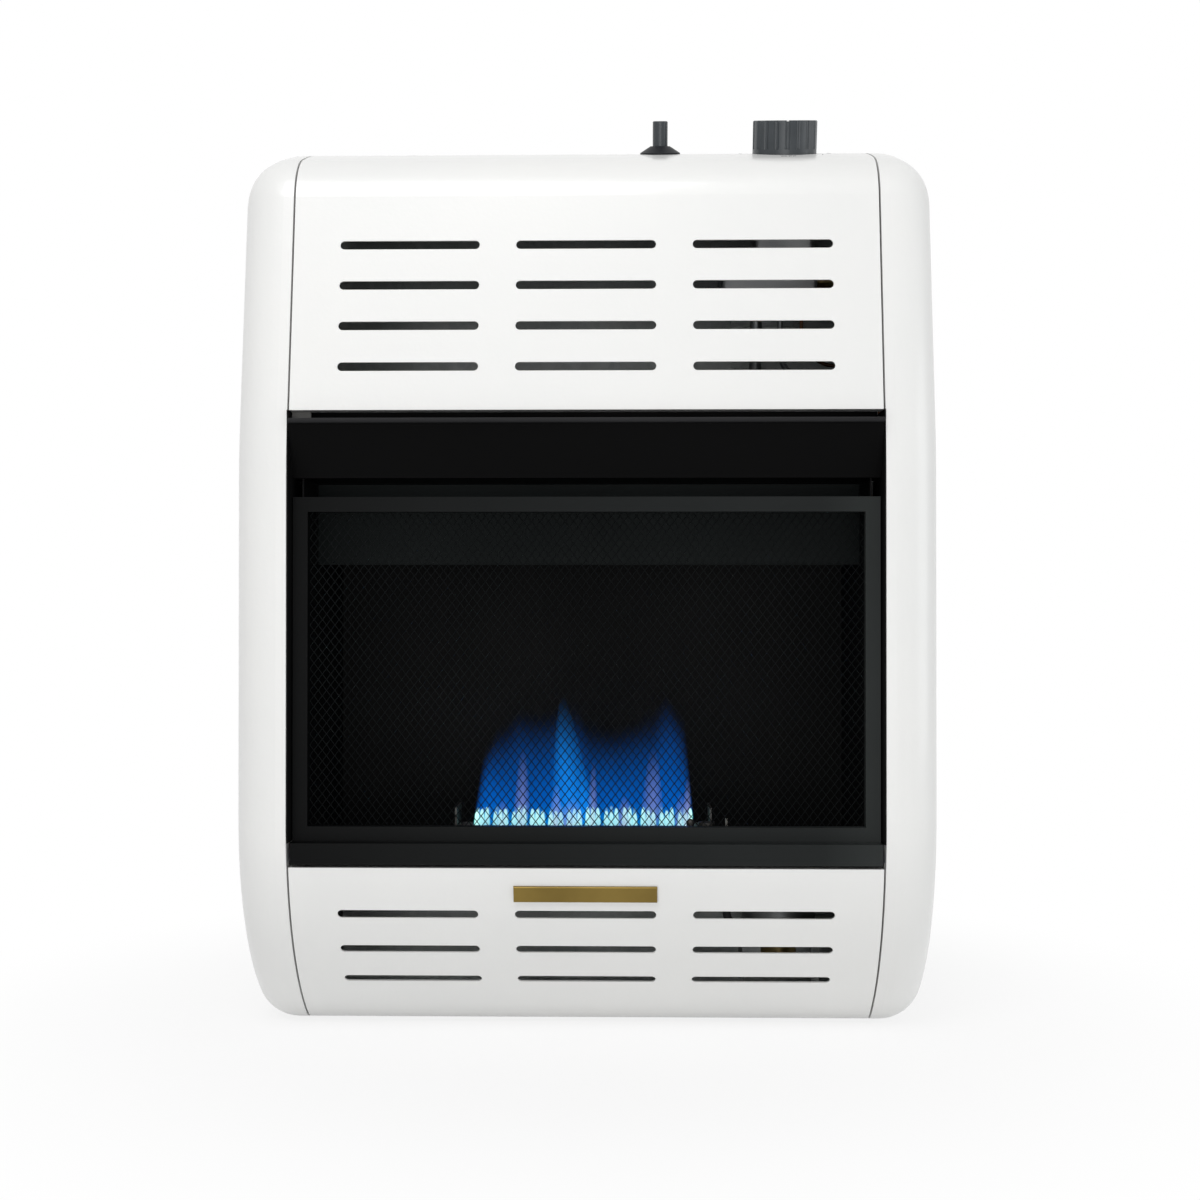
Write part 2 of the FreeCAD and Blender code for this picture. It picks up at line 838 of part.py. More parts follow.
def firebox_right_wall():
    """Right wall with windows that the gas tubes and leads pass through."""
    x0 = firebox_half - overrun
    x1 = firebox_half + firebox_sheet + overrun
    window = block(x0, x1, at(gas_window_front_depth), at(gas_window_back_depth), gas_window_bottom,
                   gas_window_bottom + gas_window_height)
    side_y = at(regulator_depth) - supply_window_width / 2
    supply_z = outlet_height - supply_window_height / 2
    notch = block(x0, x1, side_y, wall_y, supply_z, supply_z + supply_window_height)
    return firebox_wall().cut([window, notch])


def firebox_plates():
    """Flat plates of the firebox by name."""
    x = firebox_half
    back_y = at(firebox_back_depth)
    outer_x = x + firebox_sheet
    return {
        "firebox_back": block(-x, x, back_y, back_y + firebox_sheet, floor_height, hood_lip_height),
        "firebox_roof": block(-outer_x, outer_x, at(hood_end_depth), back_y + firebox_sheet,
                              hood_lip_height, hood_lip_height + firebox_sheet),
        "firebox_rear_floor": block(-x, x, at(rear_floor_start_depth), back_y, floor_height, floor_top),
        "firebox_baffle": block(-x, x, at(baffle_depth), at(baffle_depth) + firebox_sheet,
                                hood_lip_height - baffle_drop, hood_lip_height),
    }


def firebox_front_floor():
    """Floor in front of the burner, with an opening under the pilot."""
    plate = block(-firebox_half, firebox_half, at(sill_front_depth) + sill_sheet, at(front_floor_end_depth),
                  floor_height, floor_top)
    border = pilot_hole_border
    opening = block(pilot_plate_left + border, pilot_plate_right - border,
                    at(pilot_plate_front_depth) + border, at(pilot_plate_rear_depth) - border,
                    floor_height - overrun, floor_top + overrun)
    return plate.cut(opening)


def burner_shell(inset):
    """Rounded block of the burner, drawn in by a wall."""
    y0 = at(burner_depth) - burner_width / 2 + inset
    y1 = at(burner_depth) + burner_width / 2 - inset
    z0 = burner_top - burner_height + inset
    z1 = burner_top - inset
    body = block(burner_left + inset, burner_right - inset, y0, y1, z0, z1)
    rims = [edge for edge in body.Edges if edge.Length > burner_length / 2]
    return body.makeFillet(burner_edge_radius - inset, rims)


def burner_body():
    """Hollow burner with rows of ports along its top and an inlet at its right end."""
    cutters = [burner_shell(burner_wall)]
    axis_y = at(burner_depth)
    for row in range(port_rows):
        y = axis_y + (row - (port_rows - 1) / 2) * port_row_pitch
        for i in range(port_count):
            x = burner_centre_x + (i - (port_count - 1) / 2) * port_pitch
            cutters.append(block(x - port_width / 2, x + port_width / 2, y - port_length / 2,
                                 y + port_length / 2, burner_top - overrun, burner_top + overrun))
    inlet_start = V(burner_right - burner_edge_radius, axis_y, venturi_height)
    inlet_end = V(burner_right + overrun, axis_y, venturi_height)
    cutters.append(rod(inlet_start, inlet_end, venturi_radius - venturi_wall))
    return burner_shell(0).cut(cutters)


def burner_bracket():
    """Right burner bracket: a foot across the two floor plates and an upright at the burner's end."""
    y = at(burner_depth)
    x = burner_right
    t = burner_bracket_sheet
    foot_half = burner_foot_length / 2
    half = burner_bracket_width / 2
    foot = block(x, x + burner_foot_width, y - foot_half, y + foot_half, floor_top, floor_top + t)
    upright = block(x, x + t, y - half, y + half, floor_top, burner_bracket_top)
    return fused([foot, upright])


def left_burner_bracket():
    """Left burner bracket, the same piece turned round."""
    bracket = mirrored(burner_bracket())
    bracket.translate(V(burner_centre_x * 2, 0, 0))
    return bracket


def venturi_skin(inset, end):
    """Solid of the venturi, drawn in by its wall and run on past its ends."""
    y = at(burner_depth)
    mouth_x = burner_right + venturi_length - venturi_mouth_length
    neck = V(mouth_x, y, venturi_height)
    pipe = rod(V(burner_right - end, y, venturi_height), neck, venturi_radius - inset)
    mouth = Part.makeCone(venturi_radius - inset, venturi_mouth_radius - inset, venturi_mouth_length, neck,
                          V(1, 0, 0))
    return pipe.fuse(mouth)


def venturi():
    """Mixing tube with a flared mouth."""
    return venturi_skin(0, 0).cut(venturi_skin(venturi_wall, overrun)).removeSplitter()


def injector():
    """Brass jet that blows gas into the venturi."""
    y = at(burner_depth)
    start = V(injector_start_x, y, venturi_height)
    shoulder = start + V(injector_tip_length, 0, 0)
    end = V(injector_end_x, y, venturi_height)
    tip = Part.makeCone(injector_tip_radius, injector_radius, injector_tip_length, start, V(1, 0, 0))
    body = fused([tip, rod(shoulder, end, injector_radius)])
    feed = rod(shoulder, end + V(overrun, 0, 0), injector_radius / 2)
    jet = rod(start - V(overrun, 0, 0), end, injector_jet_radius)
    return body.cut([feed, jet])


def injector_bracket():
    """Plate that hangs from the firebox floor and holds the injector."""
    y = at(burner_depth)
    x0 = injector_plate_x
    half = injector_bracket_width / 2
    flange_half = injector_flange_length / 2
    flange = block(x0, x0 + injector_flange_width, y - flange_half, y + flange_half,
                   floor_height - saddle_sheet, floor_height)
    web = block(x0, x0 + saddle_sheet, y - half, y + half, floor_height - injector_bracket_drop, floor_height)
    hole_end = V(x0 + overrun, y, venturi_height)
    hole = rod(V(x0 - overrun, y, venturi_height), hole_end, injector_radius + running_gap)
    return fused([flange, web]).cut(hole)


def pilot_plate():
    """Plate on the firebox floor that carries the pilot."""
    top = floor_top + pilot_plate_sheet
    plate = block(pilot_plate_left, pilot_plate_right, at(pilot_plate_front_depth),
                  at(pilot_plate_rear_depth), floor_top, top)
    holes = []
    for x, depth, radius in pilot_pieces():
        holes.append(post(x, depth, floor_top - overrun, top + overrun, radius + running_gap))
    return plate.cut(holes)


def pilot_pieces():
    """Place, depth and radius of what stands in the pilot plate."""
    return (
        (pilot_x, pilot_depth, pilot_radius),
        (probe_x, pilot_depth, probe_radius),
        (electrode_x, electrode_depth, electrode_radius),
    )


def pilot_collar(x, depth, radius):
    """Collar that rests on the pilot plate."""
    bottom = floor_top + pilot_plate_sheet
    return post(x, depth, bottom, bottom + pilot_collar_height, radius + pilot_collar_rim)


def pilot_burner():
    """Brass pilot with a windowed hood."""
    tube_post = post(pilot_x, pilot_depth, pilot_bottom, pilot_hood_bottom, pilot_radius)
    hood_top = pilot_hood_bottom + pilot_hood_height
    hood = post(pilot_x, pilot_depth, pilot_hood_bottom, hood_top, pilot_hood_radius)
    window_z = pilot_hood_bottom + pilot_hood_height / 2 - pilot_hood_window / 2
    window = block(pilot_x - pilot_hood_window, pilot_x + pilot_hood_window,
                   at(pilot_depth) - pilot_hood_radius, at(pilot_depth), window_z,
                   window_z + pilot_hood_window)
    return fused([tube_post, hood, pilot_collar(pilot_x, pilot_depth, pilot_radius)]).cut(window)


def thermocouple_probe():
    """Rod that the pilot flame heats."""
    tip = post(probe_x, pilot_depth, probe_bottom, probe_top - probe_radius, probe_radius)
    cap = Part.makeSphere(probe_radius, V(probe_x, at(pilot_depth), probe_top - probe_radius))
    return fused([tip, cap, pilot_collar(probe_x, pilot_depth, probe_radius)])


def spark_electrode():
    """Ceramic rod with the spark wire standing out of it."""
    ceramic = post(electrode_x, electrode_depth, electrode_bottom, electrode_top, electrode_radius)
    wire = post(electrode_x, electrode_depth, electrode_top, electrode_top + electrode_wire_length,
                electrode_wire_radius)
    return fused([ceramic, wire, pilot_collar(electrode_x, electrode_depth, electrode_radius)])


def control_knob():
    """Hollow fluted knob with a plain base ring, a pointer groove and a hub for the stem."""
    body = spindle(-knob_sink, knob_rise, knob_radius)
    body = body.makeFillet(knob_edge_radius, edges_where(body, lambda p: near(p.z, knob_rise)))
    under = knob_rise - knob_cap
    body = body.cut(spindle(-knob_sink - overrun, under, knob_radius - knob_wall))
    body = fused([body, spindle(-knob_sink, under + knob_cap / 2, knob_hub_radius)])
    cutters = [spindle(-knob_sink - overrun, under - stem_top_gap / 2, stem_radius + running_gap)]
    ring = knob_radius + flute_radius - flute_depth
    for i in range(flute_count):
        angle = 2 * math.pi * (i + 0.5) / flute_count
        flute = spindle(knob_base_ring, knob_rise + overrun, flute_radius)
        flute.translate(V(ring * math.cos(angle), ring * math.sin(angle), 0))
        cutters.append(flute)
    half = pointer_width / 2
    cutters.append(block(-half, half, -knob_radius - overrun, pointer_length - knob_radius,
                         knob_rise - pointer_depth, knob_rise + overrun))
    return on_control(body.cut(cutters), knob_x)


def valve_stem():
    """Round stem between the valve and the knob."""
    top = knob_rise - knob_cap - stem_top_gap
    return on_control(spindle(-stem_bottom, top, stem_radius), knob_x)


def valve_push_pin():
    """Pin under the stem that opens the safety valve when the knob is pushed."""
    return on_control(spindle(-stem_bottom - push_pin_length, -stem_bottom, push_pin_radius), knob_x)


def valve_body():
    """Cast valve with a narrow upper block, a wide lower block and bores for the stem and its pin."""
    upper = block(-valve_upper_width / 2, valve_upper_width / 2, -valve_upper_thickness / 2,
                  valve_upper_thickness / 2, -valve_waist, -valve_top)
    lower = block(-valve_lower_left, valve_lower_right, -valve_lower_thickness / 2,
                  valve_lower_thickness / 2, -valve_bottom, -valve_waist)
    boss = spindle(-valve_top, -valve_boss_top, valve_boss_radius)
    uprights = [edge for edge in upper.Edges if near(edge.Length, valve_waist - valve_top)]
    upper = upper.makeFillet(valve_edge_radius, uprights)
    uprights = [edge for edge in lower.Edges if near(edge.Length, valve_bottom - valve_waist)]
    lower = lower.makeFillet(valve_edge_radius, uprights)
    stem_floor = -stem_bottom - knob_push_travel - end_room
    pin_floor = -stem_bottom - push_pin_length - knob_push_travel - end_room
    bores = [
        spindle(stem_floor, overrun, stem_radius + running_gap),
        spindle(pin_floor, stem_floor, push_pin_radius + running_gap),
    ]
    return on_control(fused([upper, lower, boss]).cut(bores), knob_x)


def valve_bracket_points():
    """Folds of the valve bracket, from the valve's back down and across to the back panel."""
    rear = valve_lower_thickness / 2
    top = control_place(knob_x, -valve_waist, rear)
    low = control_place(knob_x, -valve_bottom - valve_bracket_drop, rear)
    foot_y = back_front_y - valve_bracket_sheet
    return [(top.y, top.z), (low.y, low.z), (foot_y, low.z), (foot_y, low.z - valve_bracket_foot)]


def valve_bracket():
    """Folded strip that carries the valve on the back panel."""
    strip = bent_sheet(valve_bracket_points(), valve_bracket_sheet, knob_x - valve_bracket_left,
                       knob_x + valve_bracket_right)
    return strip.cut(screw_holes(screw_radius + screw_clearance))


def igniter_body():
    """Barrel of the igniter with its neck, the button's bore and the terminal."""
    top = -sheet - fit_gap
    barrel = spindle(-igniter_body_bottom, top, igniter_body_radius)
    neck = spindle(top, igniter_neck_rise, igniter_neck_radius)
    terminal = spindle(-igniter_body_bottom - terminal_length, -igniter_body_bottom, terminal_radius)
    bore_floor = -button_tail - button_travel - end_room
    bore = spindle(bore_floor, igniter_neck_rise + overrun, button_radius + running_gap)
    return on_control(fused([barrel, neck, terminal]).cut(bore), igniter_x)


def igniter_bezel():
    """Conical nut round the button on top of the cabinet."""
    rim = spindle(0, bezel_rim, bezel_radius)
    cone = Part.makeCone(bezel_radius, bezel_top_radius, bezel_height - bezel_rim, V(0, 0, bezel_rim))
    bores = [
        spindle(-overrun, igniter_neck_rise + running_gap, igniter_neck_radius + running_gap),
        spindle(0, bezel_height + overrun, button_radius + fit_gap),
    ]
    return on_control(fused([rim, cone]).cut(bores), igniter_x)


def igniter_button():
    """Round push button."""
    body = spindle(-button_tail, button_rise, button_radius)
    body = body.makeFillet(button_edge_radius, edges_where(body, lambda p: near(p.z, button_rise)))
    return on_control(body, igniter_x)


def bulb_clips():
    """Clips that hold the thermostat bulb to the back panel."""
    y = at(bulb_depth)
    reach = bulb_radius + clip_border
    clips = []
    for share in clip_shares:
        x = bulb_left + (bulb_right - bulb_left) * share
        body = block(x - clip_width / 2, x + clip_width / 2, y - reach, back_front_y, bulb_height - reach,
                     bulb_height + reach)
        hole_end = V(x + clip_width, y, bulb_height)
        hole = rod(V(x - clip_width, y, bulb_height), hole_end, bulb_radius + running_gap)
        clips.append(body.cut(hole))
    return Part.makeCompound(clips)


def thermostat_bulb():
    """Sensing bulb low down at the back."""
    y = at(bulb_depth)
    return rod(V(bulb_left, y, bulb_height), V(bulb_right, y, bulb_height), bulb_radius)


def regulator_body():
    """Round pressure regulator with a bonnet and an outlet on its right."""
    top = regulator_bottom + regulator_height
    body = post(regulator_x, regulator_depth, regulator_bottom, top, regulator_radius)
    body = body.makeFillet(regulator_edge_radius, edges_where(body, lambda p: near(p.z, top)))
    bonnet = post(regulator_x, regulator_depth, top, top + bonnet_height, bonnet_radius)
    y = at(regulator_depth)
    outlet = rod(V(regulator_x, y, outlet_height), V(outlet_end_x, y, outlet_height), outlet_radius)
    return fused([body, bonnet, outlet])


def regulator_cap():
    """Cap over the regulator's spring."""
    bottom = regulator_bottom + regulator_height + bonnet_height
    top = bottom + cap_height
    cap = post(regulator_x, regulator_depth, bottom, top, cap_radius)
    return cap.makeChamfer(cap_chamfer, edges_where(cap, lambda p: near(p.z, top)))


def inlet_fitting():
    """Threaded fitting under the regulator for the house pipe."""
    body = post(regulator_x, regulator_depth, inlet_bottom, regulator_bottom, inlet_radius)
    thread = post(regulator_x, regulator_depth, inlet_bottom - overrun, inlet_bottom + inlet_thread_length,
                  inlet_thread_radius)
    return body.cut(thread)


def regulator_saddle():
    """Folded stand that carries the regulator on the base."""
    y = at(regulator_depth)
    t = saddle_sheet
    x0 = regulator_x - saddle_width / 2
    x1 = regulator_x + saddle_width / 2
    y0 = y - saddle_length / 2
    y1 = y + saddle_length / 2
    pieces = [block(x0, x1, y0, y1, regulator_bottom - t, regulator_bottom)]
    pieces.append(block(x0, x0 + t, y0, y1, sheet, regulator_bottom))
    pieces.append(block(x1 - t, x1, y0, y1, sheet, regulator_bottom))
    pieces.append(block(x0 - saddle_foot, x0 + t, y0, y1, sheet, sheet + t))
    pieces.append(block(x1 - t, x1 + saddle_foot, y0, y1, sheet, sheet + t))
    hole_top = regulator_bottom + overrun
    hole = post(regulator_x, regulator_depth, inlet_bottom, hole_top, inlet_radius + fit_gap)
    return fused(pieces).cut(hole)


def bent_path(points, bends):
    """Straight runs through points, joined by tangent arcs of the given radii."""
    edges = []
    start = points[0]
    for before, corner, after, bend in zip(points, points[1:], points[2:], bends):
        into = (corner - before).normalize()
        out = (after - corner).normalize()
        half_turn = into.getAngle(out) / 2
        reach = bend * math.tan(half_turn)
        first = corner - into * reach
        last = corner + out * reach
        inward = (out - into).normalize()
        middle = corner + inward * (bend / math.cos(half_turn) - bend)
        edges.append(Part.LineSegment(start, first).toShape())
        edges.append(Part.Arc(first, middle, last).toShape())
        start = last
    edges.append(Part.LineSegment(start, points[-1]).toShape())
    return Part.Wire(edges)


def round_face(start, along, radius):
    """Disc square to a direction."""
    return Part.Face(Part.Wire(Part.makeCircle(radius, start, along)))


def tube(name, points, bends, radius, bore):
    """Tube along bent runs; a lead has no bore. Its volume is compared with section times length."""
    path = bent_path(points, bends)
    along = points[1] - points[0]
    solid = path.makePipe(round_face(points[0], along, radius))
    area = math.pi * radius ** 2
    if bore:
        solid = solid.cut(path.makePipe(round_face(points[0], along, bore)))
        area -= math.pi * bore ** 2
    share = solid.Volume / (area * path.Length)
    print(name, "length", round(path.Length, 1), "volume share", round(share, 4))
    return solid


def port_place(x):
    """Point on the valve's underside where a tube leaves it."""
    return control_place(x, -valve_bottom, 0)


def port_turn(x, height):
    """Point straight out of a port at a lower height."""
    along = -(control_point.z - height) / math.cos(math.radians(control_slope))
    return control_place(x, along, 0)


def main_gas_points():
    """Route from the valve down beside the firebox to the injector."""
    turn = port_turn(main_port_x, main_run_height)
    y = at(burner_depth)
    return [
        port_place(main_port_x),
        turn,
        V(main_run_x, turn.y, turn.z),
        V(main_run_x, y, venturi_height),
        V(injector_end_x, y, venturi_height),
    ]


def pilot_tube_points():
    """Route from the valve down beside the firebox to the pilot."""
    turn = port_turn(knob_x, pilot_run_height)
    y = at(pilot_depth)
    return [
        port_place(knob_x),
        turn,
        V(pilot_run_x, turn.y, turn.z),
        V(pilot_run_x, y, pilot_tube_low_height),
        V(pilot_x, y, pilot_tube_low_height),
        V(pilot_x, y, pilot_bottom),
    ]


def thermocouple_lead_points():
    """Route from the valve down beside the firebox to the thermocouple."""
    turn = port_turn(lead_port_x, lead_run_height)
    y = at(pilot_depth)
    return [
        port_place(lead_port_x),
        turn,
        V(lead_run_x, turn.y, turn.z),
        V(lead_run_x, y, lead_low_height),
        V(probe_x, y, lead_low_height),
        V(probe_x, y, probe_bottom),
    ]


def ignition_lead_points():
    """Route from the igniter behind the valve and down beside the firebox to the electrode."""
    start = control_place(igniter_x, -igniter_body_bottom - terminal_length, 0)
    turn = port_turn(igniter_x, ignition_drop_height)
    y = at(electrode_depth)
    return [
        start,
        turn,
        V(ignition_turn_x, at(ignition_run_depth), ignition_run_height),
        V(ignition_run_x, at(ignition_run_depth), ignition_run_height),
        V(ignition_run_x, y, ignition_low_height),
        V(electrode_x, y, ignition_low_height),
        V(electrode_x, y, electrode_bottom),
    ]


def supply_tube_points():
    """Route from the regulator up beside the firebox to the valve's right side."""
    valve_end = control_place(knob_x + valve_lower_right, -supply_port_height, 0)
    y = at(regulator_depth)
    return [
        valve_end,
        V(supply_run_x, valve_end.y, valve_end.z),
        V(supply_run_x, y, outlet_height),
        V(outlet_end_x, y, outlet_height),
    ]


def capillary_points():
    """Route from the valve down the back to the thermostat bulb."""
    start = control_place(knob_x + valve_upper_width / 2, -capillary_port_height, 0)
    y = at(bulb_depth)
    return [
        start,
        V(capillary_run_x, start.y, start.z),
        V(capillary_run_x, y, capillary_turn_height),
        V(capillary_run_x, y, bulb_height),
        V(bulb_right, y, bulb_height),
    ]


def nut(start, along, radius, across):
    """Six sided nut round the end of a tube."""
    corner = across / math.sqrt(3)
    angles = [math.pi * i / 3 for i in range(6)]
    points = [V(corner * math.cos(angle), corner * math.sin(angle), 0) for angle in angles]
    body = Part.Face(Part.makePolygon(points + points[:1])).extrude(V(0, 0, nut_length))
    body.Placement = FreeCAD.Placement(start, FreeCAD.Rotation(V(0, 0, 1), along))
    return body.cut(rod(start, start + along.normalize() * (nut_length + overrun), radius + running_gap))


def tube_nuts():
    """Brass nuts at the ends of the gas tubes."""
    main = main_gas_points()
    pilot = pilot_tube_points()
    lead = thermocouple_lead_points()
    supply = supply_tube_points()
    return Part.makeCompound([
        nut(main[0], main[1] - main[0], main_radius, large_nut_across),
        nut(main[-1], main[-2] - main[-1], main_radius, large_nut_across),
        nut(pilot[0], pilot[1] - pilot[0], pilot_tube_radius, small_nut_across),
        nut(lead[0], lead[1] - lead[0], lead_radius, small_nut_across),
        nut(supply[0], supply[1] - supply[0], supply_radius, large_nut_across),
        nut(supply[-1], supply[-2] - supply[-1], supply_radius, large_nut_across),
    ])


def gas_lines():
    """Tubes and leads by name."""
    bend = tube_bend
    thin = thin_bend
    main_bends = [bend, bend, main_end_bend]
    return {
        "main_gas_tube": tube("main_gas_tube", main_gas_points(), main_bends, main_radius, main_bore),
        "pilot_tube": tube("pilot_tube", pilot_tube_points(), [bend, bend, bend, pilot_end_bend],
                           pilot_tube_radius, pilot_tube_bore),
        "thermocouple_lead": tube("thermocouple_lead", thermocouple_lead_points(), [bend, bend, bend, thin],
                                  lead_radius, 0),
        "ignition_lead": tube("ignition_lead", ignition_lead_points(), [bend, bend, bend, bend, thin],
                              ignition_radius, 0),
        "supply_tube": tube("supply_tube", supply_tube_points(), [bend, bend], supply_radius, supply_bore),
        "capillary_tube": tube("capillary_tube", capillary_points(), [bend, bend, bend],
                               capillary_radius, 0),
    }


def all_pieces():
    """Every piece of the heater by name."""
    right_panel = side_panel()
    pieces = {
        "right_side_panel": right_panel,
        "left_side_panel": mirrored(right_panel),
        "upper_front_panel": upper_front_panel(),
        "lower_front_panel": lower_front_panel(),
        "badge_bar": badge_bar(),
        "back_panel": back_panel(),
        "back_screws": back_screws(),
        "wall_bracket": wall_bracket(),
        "bottom_pan": bottom_pan(),
        "heat_deflector": heat_deflector(),
        "sill_rail": sill_rail(),
        "guard_mesh": guard_mesh(),
        "firebox_left_wall": mirrored(firebox_wall()),
        "firebox_right_wall": firebox_right_wall(),
        "firebox_front_floor": firebox_front_floor(),
        "burner_body": burner_body(),
        "burner_right_bracket": burner_bracket(),
        "burner_left_bracket": left_burner_bracket(),
        "venturi": venturi(),
        "injector": injector(),
        "injector_bracket": injector_bracket(),
        "pilot_plate": pilot_plate(),
        "pilot_burner": pilot_burner(),
        "thermocouple_probe": thermocouple_probe(),
        "spark_electrode": spark_electrode(),
        "control_knob": control_knob(),
        "valve_stem": valve_stem(),
        "valve_push_pin": valve_push_pin(),
        "valve_body": valve_body(),
        "valve_bracket": valve_bracket(),
        "igniter_body": igniter_body(),
        "igniter_bezel": igniter_bezel(),
        "igniter_button": igniter_button(),
        "thermostat_bulb": thermostat_bulb(),
        "bulb_clips": bulb_clips(),
        "regulator_body": regulator_body(),
        "regulator_cap": regulator_cap(),
        "inlet_fitting": inlet_fitting(),
        "regulator_saddle": regulator_saddle(),
        "tube_nuts": tube_nuts(),
    }
    pieces.update(guard_bars())
    pieces.update(firebox_plates())
    pieces.update(gas_lines())
    return pieces


os.makedirs("parts", exist_ok=True)
for node, shape in all_pieces().items():
    shape.exportStep("parts/" + node + ".step")
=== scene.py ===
"""Dressed model of a ventless gas heater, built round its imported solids."""
import json
import logging
import math
import random
from dataclasses import dataclass
from enum import Enum
from typing import Callable, ClassVar, Iterable, Sequence

import bmesh
import bpy
from mathutils import Matrix, Vector


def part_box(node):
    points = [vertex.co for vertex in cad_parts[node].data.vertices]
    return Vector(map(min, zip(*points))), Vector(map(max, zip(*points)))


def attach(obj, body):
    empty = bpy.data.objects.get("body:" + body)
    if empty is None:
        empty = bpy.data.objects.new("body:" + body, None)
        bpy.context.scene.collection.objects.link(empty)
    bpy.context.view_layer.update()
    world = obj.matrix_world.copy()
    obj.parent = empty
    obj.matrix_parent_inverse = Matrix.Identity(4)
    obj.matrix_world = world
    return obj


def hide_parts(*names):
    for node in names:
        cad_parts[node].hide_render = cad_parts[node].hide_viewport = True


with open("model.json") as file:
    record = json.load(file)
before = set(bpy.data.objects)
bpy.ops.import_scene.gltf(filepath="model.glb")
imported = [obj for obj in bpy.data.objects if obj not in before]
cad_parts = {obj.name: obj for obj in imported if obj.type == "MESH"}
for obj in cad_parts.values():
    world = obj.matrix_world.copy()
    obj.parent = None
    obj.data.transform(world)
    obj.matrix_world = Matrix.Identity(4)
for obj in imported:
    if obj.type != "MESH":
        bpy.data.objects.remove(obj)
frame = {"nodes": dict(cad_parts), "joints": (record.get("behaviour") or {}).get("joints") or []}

log = logging.getLogger("heater")

Band = tuple[float, float]
Colour = tuple[float, float, float]
Material = bpy.types.Material
Piece = bpy.types.Object
Socket = bpy.types.NodeSocket

HEAT_VALUE = "burn_heat"
DENSITY_VALUE = "burn_density"
RIGHT = Vector((1.0, 0.0, 0.0))
BACK = Vector((0.0, 1.0, 0.0))
UP = Vector((0.0, 0.0, 1.0))
EDGE_SHARE = 0.3
EDGE_STEPS = 2


# Modelling helpers

def deselect() -> None:
    """Leave edit mode and select nothing."""
    if bpy.context.object and bpy.context.object.mode != "OBJECT":
        bpy.ops.object.mode_set(mode="OBJECT")
    bpy.ops.object.select_all(action="DESELECT")


def only(piece: Piece) -> None:
    """Select one object and make it active.

    Args:
        piece: The object.
    """
    deselect()
    piece.select_set(True)
    bpy.context.view_layer.objects.active = piece


def settle(piece: Piece, place: Matrix) -> None:
    """Move a finished piece to its place, kept in its mesh.

    Args:
        piece: Object that was modelled about the origin.
        place: Where it goes in the frame of the part.
    """
    piece.data.transform(piece.matrix_world)
    piece.matrix_world = Matrix.Identity(4)
    piece.data.transform(place)
    piece.data.update()


def finish_modifier(piece: Piece, kind: str, **settings: object) -> None:
    """Add a modifier and apply it.

    Args:
        piece: Object to change.
        kind: Blender's name of the modifier.
        settings: Values of the modifier.
    """
    only(piece)
    modifier = piece.modifiers.new(kind.title(), kind)
    for key, value in settings.items():
        setattr(modifier, key, value)
    bpy.ops.object.modifier_apply(modifier=modifier.name)


def soften(piece: Piece, thickness: float) -> None:
    """Round the edges of a thin piece.

    Args:
        piece: Object to change.
        thickness: Its thickness in metres.
    """
    finish_modifier(piece, "BEVEL", width=thickness * EDGE_SHARE, segments=EDGE_STEPS)


def select_edges(piece: Piece, test: Callable[[bmesh.types.BMEdge], bool]) -> None:
    """Select the edges that pass a test, in edit mode.

    Args:
        piece: Object in edit mode.
        test: Says whether an edge is wanted.
    """
    bpy.ops.mesh.select_mode(type="EDGE")
    bpy.ops.mesh.select_all(action="DESELECT")
    shape = bmesh.from_edit_mesh(piece.data)
    for edge in shape.edges:
        edge.select = test(edge)
    bmesh.update_edit_mesh(piece.data)


def joined(pieces: Sequence[Piece], name: str) -> Piece:
    """Join pieces to one object.

    Args:
        pieces: Objects with their place in their meshes.
        name: Name of the whole.

    Returns:
        The joined object.
    """
    deselect()
    for piece in pieces:
        piece.select_set(True)
    bpy.context.view_layer.objects.active = pieces[0]
    if len(pieces) > 1:
        bpy.ops.object.join()
    whole = bpy.context.object
    whole.name = name
    whole.data.name = name
    return whole


def dress(piece: Piece, material: Material) -> None:
    """Give an object one material.

    Args:
        piece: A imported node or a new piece.
        material: Its finish.
    """
    if not piece.material_slots:
        piece.data.materials.append(material)
    for slot in piece.material_slots:
        slot.material = material


# Finishes

